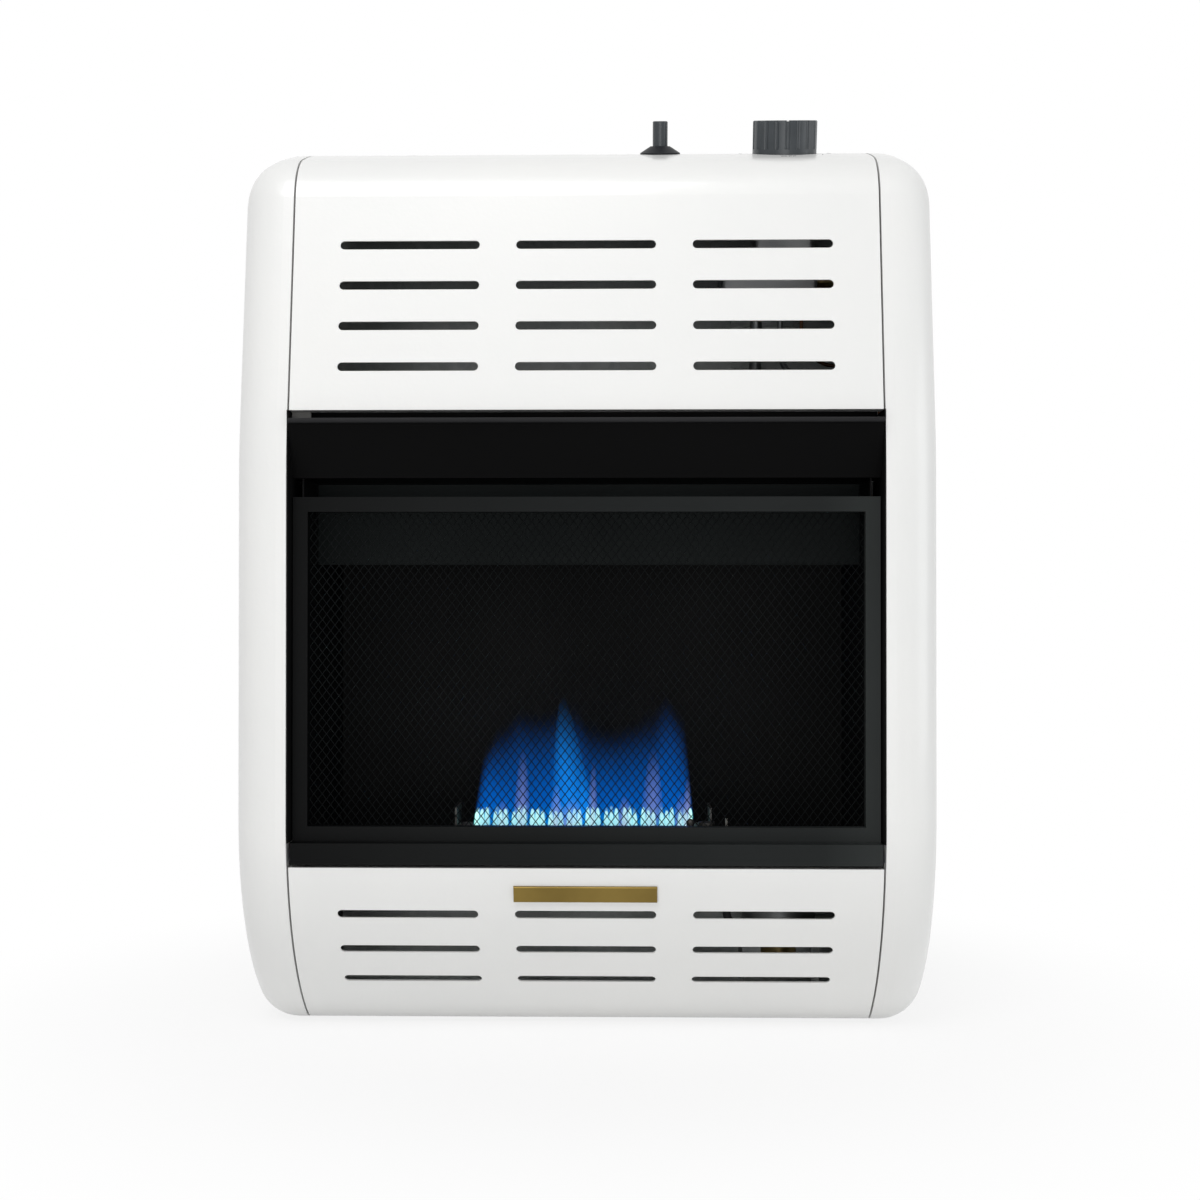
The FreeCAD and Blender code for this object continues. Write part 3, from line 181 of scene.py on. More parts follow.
class Graph:
    """Node tree of one material."""

    def __init__(self, name: str) -> None:
        """Start a material with a shader and object coordinates.

        Args:
            name: Name of the material.
        """
        self.material = bpy.data.materials.new(name)
        self.material.use_nodes = True
        self.nodes = self.material.node_tree.nodes
        self.links = self.material.node_tree.links
        self.shader = self.nodes["Principled BSDF"]
        self.place = self.nodes.new("ShaderNodeTexCoord").outputs["Object"]

    def set(self, **values: object) -> None:
        """Set sockets of the shader.

        Args:
            values: Values by the sockets' names, with spaces written as underscores.
        """
        for key, value in values.items():
            self.shader.inputs[key.replace("_", " ")].default_value = value

    def join(self, source: Socket, socket: str) -> None:
        """Link a value to a socket of the shader.

        Args:
            source: The value.
            socket: Name of the socket.
        """
        self.links.new(source, self.shader.inputs[socket])

    def stretched(self, scale: Sequence[float]) -> Socket:
        """Object coordinates stretched along the axes.

        Args:
            scale: Factor along each axis.

        Returns:
            The stretched coordinates.
        """
        mapping = self.nodes.new("ShaderNodeMapping")
        mapping.inputs["Scale"].default_value = scale
        self.links.new(self.place, mapping.inputs["Vector"])
        return mapping.outputs["Vector"]

    def noise(self, scale: float, detail: float,
              stretch: Sequence[float] | None = None) -> Socket:
        """Noise between 0 and 1.

        Args:
            scale: Bumps to the metre.
            detail: Finer layers of noise.
            stretch: Factor along each axis.

        Returns:
            The noise value.
        """
        node = self.nodes.new("ShaderNodeTexNoise")
        node.inputs["Scale"].default_value = scale
        node.inputs["Detail"].default_value = detail
        self.links.new(self.stretched(stretch) if stretch else self.place, node.inputs["Vector"])
        return node.outputs[0]

    def cells(self, scale: float) -> Socket:
        """Flat cells of random tone, as the crystals of a zinc coat.

        Args:
            scale: Cells to the metre.

        Returns:
            A tone for each cell.
        """
        node = self.nodes.new("ShaderNodeTexVoronoi")
        node.inputs["Scale"].default_value = scale
        self.links.new(self.place, node.inputs["Vector"])
        return node.outputs["Color"]

    def ramp(self, value: Socket, stops: Sequence[tuple[float, Colour]]) -> Socket:
        """Colour from a value.

        Args:
            value: What drives the ramp.
            stops: Places and colours.

        Returns:
            The colour.
        """
        node = self.nodes.new("ShaderNodeValToRGB")
        elements = node.color_ramp.elements
        while len(elements) < len(stops):
            elements.new(1.0)
        for element, (place, colour) in zip(elements, stops):
            element.position = place
            element.color = (*colour, 1.0)
        self.links.new(value, node.inputs[0])
        return node.outputs[0]

    def blend(self, value: Socket, band: Band, low: Colour, high: Colour) -> Socket:
        """Colour that runs from one to another over a band of a value.

        Args:
            value: What drives the colour.
            band: Values where the run starts and ends.
            low: Colour at the start.
            high: Colour at the end.

        Returns:
            The colour.
        """
        return self.ramp(value, [(band[0], low), (band[1], high)])

    def spread(self, value: Socket, low: float, high: float) -> Socket:
        """Value moved from 0 to 1 into a new range.

        Args:
            value: What is moved.
            low: New value at 0.
            high: New value at 1.

        Returns:
            The moved value.
        """
        node = self.nodes.new("ShaderNodeMapRange")
        node.inputs["To Min"].default_value = low
        node.inputs["To Max"].default_value = high
        self.links.new(value, node.inputs["Value"])
        return node.outputs[0]

    def uneven(self, value: Socket, level: float, band: Band) -> Socket:
        """Value that strays about a level.

        Args:
            value: What drives it, between 0 and 1.
            level: The level.
            band: Shares of the level at 0 and at 1.

        Returns:
            The uneven value.
        """
        return self.spread(value, level * band[0], level * band[1])

    def along(self, axis: int, low: float, high: float) -> Socket:
        """Place along one axis, from 0 to 1.

        Args:
            axis: 0, 1 or 2 for X, Y or Z.
            low: Where the value is 0, in metres.
            high: Where the value is 1, in metres.

        Returns:
            The value, held between 0 and 1.
        """
        parts = self.nodes.new("ShaderNodeSeparateXYZ")
        self.links.new(self.place, parts.inputs[0])
        node = self.nodes.new("ShaderNodeMapRange")
        node.inputs["From Min"].default_value = low
        node.inputs["From Max"].default_value = high
        self.links.new(parts.outputs[axis], node.inputs["Value"])
        return node.outputs[0]

    def scaled(self, colour: Socket, value: Socket) -> Socket:
        """Colour made lighter or darker by a value.

        Args:
            colour: The colour.
            value: What it is multiplied by.

        Returns:
            The scaled colour.
        """
        node = self.nodes.new("ShaderNodeVectorMath")
        node.operation = "SCALE"
        self.links.new(colour, node.inputs[0])
        self.links.new(value, node.inputs["Scale"])
        return node.outputs[0]

    def times(self, a: Socket, b: Socket) -> Socket:
        """Product of two values.

        Args:
            a: One value.
            b: The other value.

        Returns:
            The product.
        """
        node = self.nodes.new("ShaderNodeMath")
        node.operation = "MULTIPLY"
        self.links.new(a, node.inputs[0])
        self.links.new(b, node.inputs[1])
        return node.outputs[0]

    def mean(self, a: Socket, b: Socket) -> Socket:
        """Half way between two values.

        Args:
            a: One value.
            b: The other value.

        Returns:
            The mean value.
        """
        node = self.nodes.new("ShaderNodeMix")
        node.inputs[0].default_value = 0.5
        self.links.new(a, node.inputs[2])
        self.links.new(b, node.inputs[3])
        return node.outputs[0]

    def attribute(self, name: str) -> Socket:
        """Value stored on the points of a mesh.

        Args:
            name: Name of the attribute.

        Returns:
            The value.
        """
        node = self.nodes.new("ShaderNodeAttribute")
        node.attribute_name = name
        return node.outputs["Fac"]

    def bump(self, height: Socket, depth: float) -> None:
        """Bumps of a real depth.

        Args:
            height: Value between 0 and 1.
            depth: Depth in metres.
        """
        node = self.nodes.new("ShaderNodeBump")
        node.inputs["Strength"].default_value = 1.0
        node.inputs["Distance"].default_value = depth
        self.links.new(height, node.inputs["Height"])
        self.join(node.outputs["Normal"], "Normal")


@dataclass(frozen=True)
class Finish:
    """A named finish, made once as a material."""

    name: str

    def material(self) -> Material:
        """Give the material of this finish, made on its first use.

        Returns:
            The material.
        """
        title = f"finish_{self.name}"
        known = bpy.data.materials.get(title)
        return known or self.make(Graph(title))

    def make(self, graph: Graph) -> Material:
        """Build the material's nodes.

        Args:
            graph: Node tree of the new material.

        Returns:
            The finished material.
        """
        raise NotImplementedError


@dataclass(frozen=True)
class Coating(Finish):
    """Sprayed or baked paint with a faintly uneven tone and orange peel."""

    CLOUD_SCALE: ClassVar[float] = 9.0
    CLOUD_DETAIL: ClassVar[float] = 4.0
    ROUGH_BAND: ClassVar[Band] = (1.15, 0.85)
    COAT_ROUGHNESS: ClassVar[float] = 0.06
    PEEL_DETAIL: ClassVar[float] = 1.0

    roughness: float
    coat: float
    specular: float
    peel_scale: float
    peel_depth: float

    def tone(self, graph: Graph, cloud: Socket) -> Socket:
        """Colour of the paint.

        Args:
            graph: Node tree of the material.
            cloud: Cloudy unevenness between 0 and 1.

        Returns:
            The colour.
        """
        raise NotImplementedError

    def make(self, graph: Graph) -> Material:
        """Build the material's nodes."""
        cloud = graph.noise(self.CLOUD_SCALE, self.CLOUD_DETAIL)
        graph.join(self.tone(graph, cloud), "Base Color")
        graph.join(graph.uneven(cloud, self.roughness, self.ROUGH_BAND), "Roughness")
        graph.set(Coat_Weight=self.coat, Coat_Roughness=self.COAT_ROUGHNESS)
        graph.set(Specular_IOR_Level=self.specular)
        graph.bump(graph.noise(self.peel_scale, self.PEEL_DETAIL), self.peel_depth)
        return graph.material


@dataclass(frozen=True)
class Paint(Coating):
    """Paint of one colour, with a darker shade in its clouds."""

    CLOUD_BAND: ClassVar[Band] = (0.35, 0.65)

    colour: Colour
    shade: Colour

    def tone(self, graph: Graph, cloud: Socket) -> Socket:
        """Colour of the paint, from its cloudy unevenness."""
        return graph.blend(cloud, self.CLOUD_BAND, self.shade, self.colour)


@dataclass(frozen=True)
class PaintedLightCoating(Coating):
    """Paint whose tone runs along one axis, with highlight and shade painted into its colour."""

    TONE_BAND: ClassVar[Band] = (0.75, 1.25)

    axis: int
    reach: Band
    tones: Sequence[tuple[float, Colour]]

    def tone(self, graph: Graph, cloud: Socket) -> Socket:
        """Colour of the paint: light and shade painted in from its place, times its cloudy
        unevenness.
        """
        painted_light = graph.ramp(graph.along(self.axis, *self.reach), self.tones)
        return graph.scaled(painted_light, graph.spread(cloud, *self.TONE_BAND))


@dataclass(frozen=True)
class Metal(Finish):
    """Bare metal with drawn grain and stains, or with zinc crystals."""

    GRAIN_DETAIL: ClassVar[float] = 3.0
    STAIN_SCALE: ClassVar[float] = 30.0
    STAIN_DETAIL: ClassVar[float] = 5.0
    STAIN_BAND: ClassVar[Band] = (0.3, 0.7)
    ROUGH_BAND: ClassVar[Band] = (1.3, 0.8)
    CRYSTAL_RATIO: ClassVar[float] = 2.3

    colour: Colour
    stain: Colour
    roughness: float
    grain_scale: float = 900.0
    grain_depth: float = 0.00001
    grain_stretch: Sequence[float] = (1.0, 1.0, 1.0)
    crystals: float = 0.0

    def make(self, graph: Graph) -> Material:
        """Build the material's nodes."""
        grain = graph.noise(self.grain_scale, self.GRAIN_DETAIL, self.grain_stretch)
        tone = graph.noise(self.STAIN_SCALE, self.STAIN_DETAIL)
        if self.crystals:
            small = graph.cells(self.crystals)
            large = graph.cells(self.crystals / self.CRYSTAL_RATIO)
            tone = graph.mean(small, graph.mean(tone, large))
        graph.join(graph.blend(tone, self.STAIN_BAND, self.stain, self.colour), "Base Color")
        graph.join(graph.uneven(tone, self.roughness, self.ROUGH_BAND), "Roughness")
        graph.set(Metallic=1.0)
        graph.bump(grain, self.grain_depth)
        return graph.material


@dataclass(frozen=True)
class Moulding(Finish):
    """Moulded plastic, glazed ceramic, rubber or print with a fine grain."""

    CLOUD_SCALE: ClassVar[float] = 60.0
    CLOUD_DETAIL: ClassVar[float] = 4.0
    WEAR_BAND: ClassVar[Band] = (0.4, 0.75)
    ROUGH_BAND: ClassVar[Band] = (0.9, 1.2)
    GRAIN_DETAIL: ClassVar[float] = 2.0

    colour: Colour
    worn: Colour
    roughness: float
    grain_scale: float
    grain_depth: float = 0.00001
    specular: float = 0.5

    def make(self, graph: Graph) -> Material:
        """Build the material's nodes."""
        cloud = graph.noise(self.CLOUD_SCALE, self.CLOUD_DETAIL)
        graph.join(graph.blend(cloud, self.WEAR_BAND, self.colour, self.worn), "Base Color")
        graph.join(graph.uneven(cloud, self.roughness, self.ROUGH_BAND), "Roughness")
        graph.set(Specular_IOR_Level=self.specular)
        graph.bump(graph.noise(self.grain_scale, self.GRAIN_DETAIL), self.grain_depth)
        return graph.material


class Heat(Enum):
    """Part of a flame, as its place on the glow's scale of colours."""

    VEIL = 0.0
    BASE = 0.2
    HEART = 0.4
    STREAK = 0.7
    RIM = 0.85
    ROOT = 1.0


@dataclass(frozen=True)
class Glow(Finish):
    """Burning gas: light and density come from values stored on the flames' points."""

    WISP_SCALE: ClassVar[float] = 70.0
    WISP_DETAIL: ClassVar[float] = 2.0
    WISP_STRETCH: ClassVar[Sequence[float]] = (1.0, 1.0, 0.25)
    WISP_BAND: ClassVar[Band] = (0.35, 1.5)

    outer: Colour
    base: Colour
    middle: Colour
    pale: Colour
    rim: Colour
    root: Colour
    strength: float

    def make(self, graph: Graph) -> Material:
        """Build the material's nodes."""
        tones = (self.outer, self.base, self.middle, self.pale, self.rim, self.root)
        stops = [(heat.value, tone) for heat, tone in zip(Heat, tones)]
        graph.join(graph.ramp(graph.attribute(HEAT_VALUE), stops), "Emission Color")
        noise = graph.noise(self.WISP_SCALE, self.WISP_DETAIL, self.WISP_STRETCH)
        wisps = graph.spread(noise, *self.WISP_BAND)
        graph.join(graph.times(graph.attribute(DENSITY_VALUE), wisps), "Alpha")
        graph.set(Base_Color=(0.0, 0.0, 0.0, 1.0), Roughness=1.0, Specular_IOR_Level=0.0)
        graph.set(Emission_Strength=self.strength)
        return graph.material


WHITE_ENAMEL = Paint(
    "white_enamel", roughness=0.34, coat=0.25, specular=0.5, peel_scale=420.0, peel_depth=0.00004,
    colour=(0.9, 0.9, 0.885), shade=(0.88, 0.882, 0.87))
# Painted highlight: above the lower part of the rolled hem the hood's black turns about ten times
# lighter, where light catches the edge.
HOOD_BLACK_PAINTED_HIGHLIGHT = PaintedLightCoating(
    "hood_black_painted_highlight", roughness=0.42, coat=0.0, specular=0.036, peel_scale=1800.0,
    peel_depth=0.000004, axis=2, reach=(0.3715, 0.3757),
    tones=((0.2, (0.0026, 0.0026, 0.0027)), (0.36, (0.022, 0.022, 0.0232)),
           (1.0, (0.024, 0.024, 0.0252))))
# Painted light and shade: the sill and guard frame run from near black at the left end to a
# lighter grey at the right end, as the light falls on them.
GUARD_BLACK_PAINTED_LIGHT = PaintedLightCoating(
    "guard_black", roughness=0.4, coat=0.0, specular=0.07, peel_scale=2500.0,
    peel_depth=0.000004, axis=0, reach=(-0.178, 0.178),
    tones=((0.0, (0.0015, 0.0017, 0.0018)), (0.12, (0.0035, 0.0039, 0.004)),
           (0.5, (0.0085, 0.0098, 0.0099)), (0.9, (0.015, 0.017, 0.017)),
           (0.965, (0.024, 0.027, 0.0266)), (1.0, (0.028, 0.031, 0.0305))))
MESH_BLACK = Paint(
    "mesh_black", roughness=0.4, coat=0.0, specular=0.07, peel_scale=2500.0, peel_depth=0.000004,
    colour=(0.0095, 0.011, 0.011), shade=(0.006, 0.007, 0.0072))
FIREBOX_BLACK = Paint(
    "firebox_black", roughness=0.5, coat=0.0, specular=0.06, peel_scale=1600.0,
    peel_depth=0.000006, colour=(0.006, 0.006, 0.0062), shade=(0.0035, 0.0035, 0.0036))
BAFFLE_BLACK = Paint(
    "baffle_black", roughness=0.45, coat=0.0, specular=0.06, peel_scale=1600.0,
    peel_depth=0.000006, colour=(0.009, 0.0115, 0.0115), shade=(0.006, 0.008, 0.008))
ZINC_STEEL = Metal(
    "zinc_steel", colour=(0.5, 0.515, 0.51), stain=(0.44, 0.455, 0.45), roughness=0.36,
    grain_scale=600.0, grain_depth=0.000004, crystals=240.0)
BURNER_STEEL = Metal(
    "burner_steel", colour=(0.42, 0.4, 0.38), stain=(0.24, 0.2, 0.2), roughness=0.42,
    grain_depth=0.00003, grain_stretch=(1.0, 8.0, 8.0))
SOOTED_STEEL = Metal(
    "sooted_steel", colour=(0.13, 0.13, 0.125), stain=(0.07, 0.066, 0.064), roughness=0.5)
CAST_METAL = Metal(
    "cast_metal", colour=(0.46, 0.465, 0.47), stain=(0.37, 0.375, 0.38), roughness=0.46,
    grain_scale=1500.0, grain_depth=0.00008)
TUBE_METAL = Metal(
    "tube_metal", colour=(0.5, 0.51, 0.52), stain=(0.4, 0.41, 0.42), roughness=0.34,
    grain_scale=1200.0, grain_stretch=(1.0, 1.0, 0.1))
BRASS = Metal(
    "brass", colour=(0.78, 0.58, 0.26), stain=(0.66, 0.47, 0.2), roughness=0.28,
    grain_depth=0.00002)
BADGE_BRASS = Metal(
    "badge_brass", colour=(0.25, 0.175, 0.05), stain=(0.18, 0.125, 0.035), roughness=0.34,
    grain_scale=1400.0, grain_stretch=(0.08, 1.0, 1.0))
AGED_COPPER = Metal(
    "aged_copper", colour=(0.3, 0.16, 0.1), stain=(0.17, 0.09, 0.06), roughness=0.4)
SCREW_ZINC = Metal(
    "screw_zinc", colour=(0.66, 0.66, 0.66), stain=(0.56, 0.56, 0.55), roughness=0.3,
    grain_scale=1800.0)
BLACK_PLASTIC = Moulding(
    "black_plastic", colour=(0.022, 0.028, 0.033), worn=(0.036, 0.043, 0.049), roughness=0.34,
    grain_scale=2600.0, grain_depth=0.00002)
CERAMIC = Moulding(
    "sooted_ceramic", colour=(0.3, 0.29, 0.26), worn=(0.18, 0.17, 0.15), roughness=0.3,
    grain_scale=500.0)
BEZEL_BLACK = Moulding(
    "bezel_black", colour=(0.011, 0.012, 0.0145), worn=(0.018, 0.019, 0.0215), roughness=0.42,
    grain_scale=2600.0, specular=0.15)
DARK_SILICONE = Moulding(
    "dark_silicone", colour=(0.02, 0.02, 0.022), worn=(0.03, 0.03, 0.032), roughness=0.5,
    grain_scale=1500.0, grain_depth=0.00002)
PRINT_GREY = Moulding(
    "print_grey", colour=(0.13, 0.13, 0.135), worn=(0.17, 0.17, 0.175), roughness=0.5,
    grain_scale=3000.0, grain_depth=0.000005)
POINTER_WHITE = Moulding(
    "pointer_white", colour=(0.85, 0.85, 0.83), worn=(0.8, 0.8, 0.78), roughness=0.45,
    grain_scale=2000.0)
FLAME_GLOW = Glow(
    "flame_glow", outer=(0.001, 0.085, 0.4), base=(0.003, 0.2, 0.31), middle=(0.008, 0.26, 0.85),
    pale=(0.34, 0.32, 0.46), rim=(0.08, 0.95, 0.82), root=(0.78, 1.15, 1.0), strength=1.35)


# Sub-assemblies

Coats = dict[Finish, Sequence[str]]


@dataclass
class Assembly:
    """A group of pieces that is built and dressed together, with its nodes listed by finish."""

    coats: ClassVar[Coats] = {}

    def build(self) -> list[Piece]:
        """Model the group's new pieces."""
        return []

    def make(self) -> None:
        """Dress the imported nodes, then add the new pieces."""
        for finish, names in self.coats.items():
            for name in names:
                dress(frame["nodes"][name], finish.material())
        for piece in self.build():
            log.info("%s: %d faces", piece.name, len(piece.data.polygons))


@dataclass
class Cabinet(Assembly):
    """White steel cabinet with its back, base and wall bracket."""

    coats: ClassVar[Coats] = {
        WHITE_ENAMEL: ("left_side_panel", "right_side_panel", "upper_front_panel",
                       "lower_front_panel"),
        BADGE_BRASS: ("badge_bar",),
        ZINC_STEEL: ("back_panel", "bottom_pan", "wall_bracket"),
        SCREW_ZINC: ("back_screws",),
    }


@dataclass
class FireGuard(Assembly):
    """Black hood, sill and guard frame, with a fine expanded metal sheet."""

    FACING: ClassVar[float] = 0.9
    ALIGNED: ClassVar[float] = 1e-6

    cell_width: float = 0.0051
    cell_height: float = 0.0066
    strand: float = 0.00075
    gauge: float = 0.0008
    fold: float = 0.005
    lining_front: float = -0.0995
    lining_depth: float = 0.0475
    shadow_strip_place: float = -0.0725
    shadow_strip_rise: float = 0.0095
    tab_place: float = -0.0905
    tab_width: float = 0.0118

    coats: ClassVar[Coats] = {
        HOOD_BLACK_PAINTED_HIGHLIGHT: ("heat_deflector",),
        GUARD_BLACK_PAINTED_LIGHT: ("sill_rail", "guard_top_bar", "guard_bottom_bar", "guard_left_bar",
                      "guard_right_bar"),
    }

    def folded(self, low: Vector, high: Vector, edge: Vector, out: Vector) -> Piece:
        """Model a sheet strip with one edge folded.

        A plate is cut beside that edge, and the narrow band is drawn out.

        Args:
            low: Lowest corner of the plate.
            high: Highest corner of the plate.
            edge: Direction of the edge that is folded.
            out: Direction that the fold takes.

        Returns:
            The strip.
        """
        deselect()
        bpy.ops.mesh.primitive_cube_add(size=1.0)
        strip = bpy.context.object
        middle = (low + high) / 2
        size = high - low
        settle(strip, Matrix.Translation(middle) @ Matrix.Diagonal((*size, 1.0)))
        cut = middle + edge * (abs(size.dot(edge)) / 2 - self.gauge)
        bpy.ops.object.mode_set(mode="EDIT")
        bpy.ops.mesh.select_all(action="SELECT")
        bpy.ops.mesh.bisect(plane_co=cut, plane_no=edge)
        bpy.ops.mesh.select_mode(type="FACE")
        bpy.ops.mesh.select_all(action="DESELECT")
        shape = bmesh.from_edit_mesh(strip.data)
        shape.normal_update()
        for face in shape.faces:
            beyond = (face.calc_center_median() - cut).dot(edge) > 0
            if beyond and face.normal.dot(out) > self.FACING:
                face.select = True
        bmesh.update_edit_mesh(strip.data)
        bpy.ops.mesh.extrude_region_move(TRANSFORM_OT_translate={"value": out * self.fold})
        bpy.ops.object.mode_set(mode="OBJECT")
        soften(strip, self.gauge)
        return strip

    def shade_linings(self) -> Piece:
        """Model black linings on the side panels' returns, from the sill to the front panel, which
        paint in the shade of the reveal.

        Returns:
            Both linings as one piece.
        """
        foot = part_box("sill_rail")[1].z
        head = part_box("upper_front_panel")[0].z
        faces = {-1.0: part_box("left_side_panel")[1].x, 1.0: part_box("right_side_panel")[0].x}
        sides = []
        for side, face in faces.items():
            low, high = sorted((face, face - side * self.gauge))
            sides.append(self.folded(
                Vector((low, self.lining_front, foot)),
                Vector((high, self.lining_front + self.lining_depth, head)), BACK, RIGHT * side))
        return joined(sides, "opening_shade_linings")

    def shadow_strip(self) -> Piece:
        """Model the black angle strip that stands on the hood's upper flange and shuts the gap: a
        painted shadow, a dark piece where the gap is in shade.

        Returns:
            The strip.
        """
        low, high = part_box("heat_deflector")
        strip = self.folded(
            Vector((low.x, self.shadow_strip_place, high.z)),
            Vector((high.x, self.shadow_strip_place + self.gauge, high.z + self.shadow_strip_rise)), -UP, -BACK)
        return joined([strip], "hood_shadow_strip")

    def tab(self) -> Piece:
        """Model the bare tab at the left end of the gap, between the hood and the front panel.

        Returns:
            The tab.
        """
        low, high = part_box("heat_deflector")
        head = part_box("upper_front_panel")[0].z
        plate = self.folded(
            Vector((low.x, self.tab_place, high.z)),
            Vector((low.x + self.tab_width, self.tab_place + self.gauge, head)), -UP, BACK)
        return joined([plate], "hood_tab")

    def along_grid(self, edge: bmesh.types.BMEdge) -> bool:
        """Tell an inner edge that runs along the grid from a diagonal.

        Args:
            edge: An edge of the poked grid.

        Returns:
            Whether it runs along the grid.
        """
        span = edge.verts[0].co - edge.verts[1].co
        return not edge.is_boundary and min(abs(span.x), abs(span.y)) < self.ALIGNED

    def mesh_sheet(self) -> Piece:
        """Model the expanded metal sheet.

        The faces of a grid are poked, and its old edges are dissolved to leave diamonds.

        Returns:
            The sheet.
        """
        low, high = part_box("guard_mesh")
        middle = (low + high) / 2
        size = high - low
        deselect()
        bpy.ops.mesh.primitive_grid_add(x_subdivisions=round(size.x / self.cell_width),
                                        y_subdivisions=round(size.z / self.cell_height), size=1.0)
        sheet = bpy.context.object
        sheet.name = "guard_sheet"
        bpy.ops.object.mode_set(mode="EDIT")
        bpy.ops.mesh.poke()
        select_edges(sheet, self.along_grid)
        bpy.ops.mesh.dissolve_edges(use_verts=False)
        bpy.ops.object.mode_set(mode="OBJECT")
        stretch = Matrix.Diagonal((size.x - self.strand, size.z - self.strand, 1.0, 1.0))
        upright = Matrix.Rotation(math.pi / 2, 4, "X")
        settle(sheet, Matrix.Translation(middle) @ upright @ stretch)
        finish_modifier(sheet, "WIREFRAME", thickness=self.strand, use_even_offset=False,
                        use_boundary=True)
        dress(sheet, MESH_BLACK.material())
        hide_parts("guard_mesh")
        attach(sheet, "root")
        return sheet

    def build(self) -> list[Piece]:
        """Model the sheet of the guard and the small folded strips round the opening.

        Returns:
            The new pieces.
        """
        # The linings and the strip on the hood are black pieces of painted shade round the
        # opening; the tab is bare steel.
        strips = {
            self.shade_linings(): FIREBOX_BLACK, self.shadow_strip(): FIREBOX_BLACK, self.tab(): SOOTED_STEEL}
        for strip, finish in strips.items():
            dress(strip, finish.material())
            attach(strip, "root")
        return [self.mesh_sheet(), *strips]


@dataclass
class Firebox(Assembly):
    """Black steel box round the flames."""

    coats: ClassVar[Coats] = {
        FIREBOX_BLACK: ("firebox_left_wall", "firebox_right_wall", "firebox_back",
                        "firebox_roof", "firebox_front_floor", "firebox_rear_floor"),
        BAFFLE_BLACK: ("firebox_baffle",),
    }


@dataclass(frozen=True)
class Taper:
    """How a flame's width and density fall with height, and how many nested shells it has."""

    foot: float
    point: float
    fade: float
    shells: int


ROOT_TAPER = Taper(foot=0.15, point=0.36, fade=0.3, shells=2)
PLUME_TAPER = Taper(foot=0.05, point=0.62, fade=1.0, shells=8)
STREAK_TAPER = Taper(foot=0.3, point=0.5, fade=0.6, shells=7)


@dataclass(frozen=True)
class Tongue:
    """One soft flame and its place on the burner."""

    x: float
    y: float
    radius: float
    height: float
    density: float
    heat: Heat
    taper: Taper
    lean: float = 0.0


def eased(share: float) -> float:
    """Share from 0 to 1 with a slow start and a slow end.

    Args:
        share: An even share.

    Returns:
        The eased share.
    """
    return share * share * (3 - 2 * share)


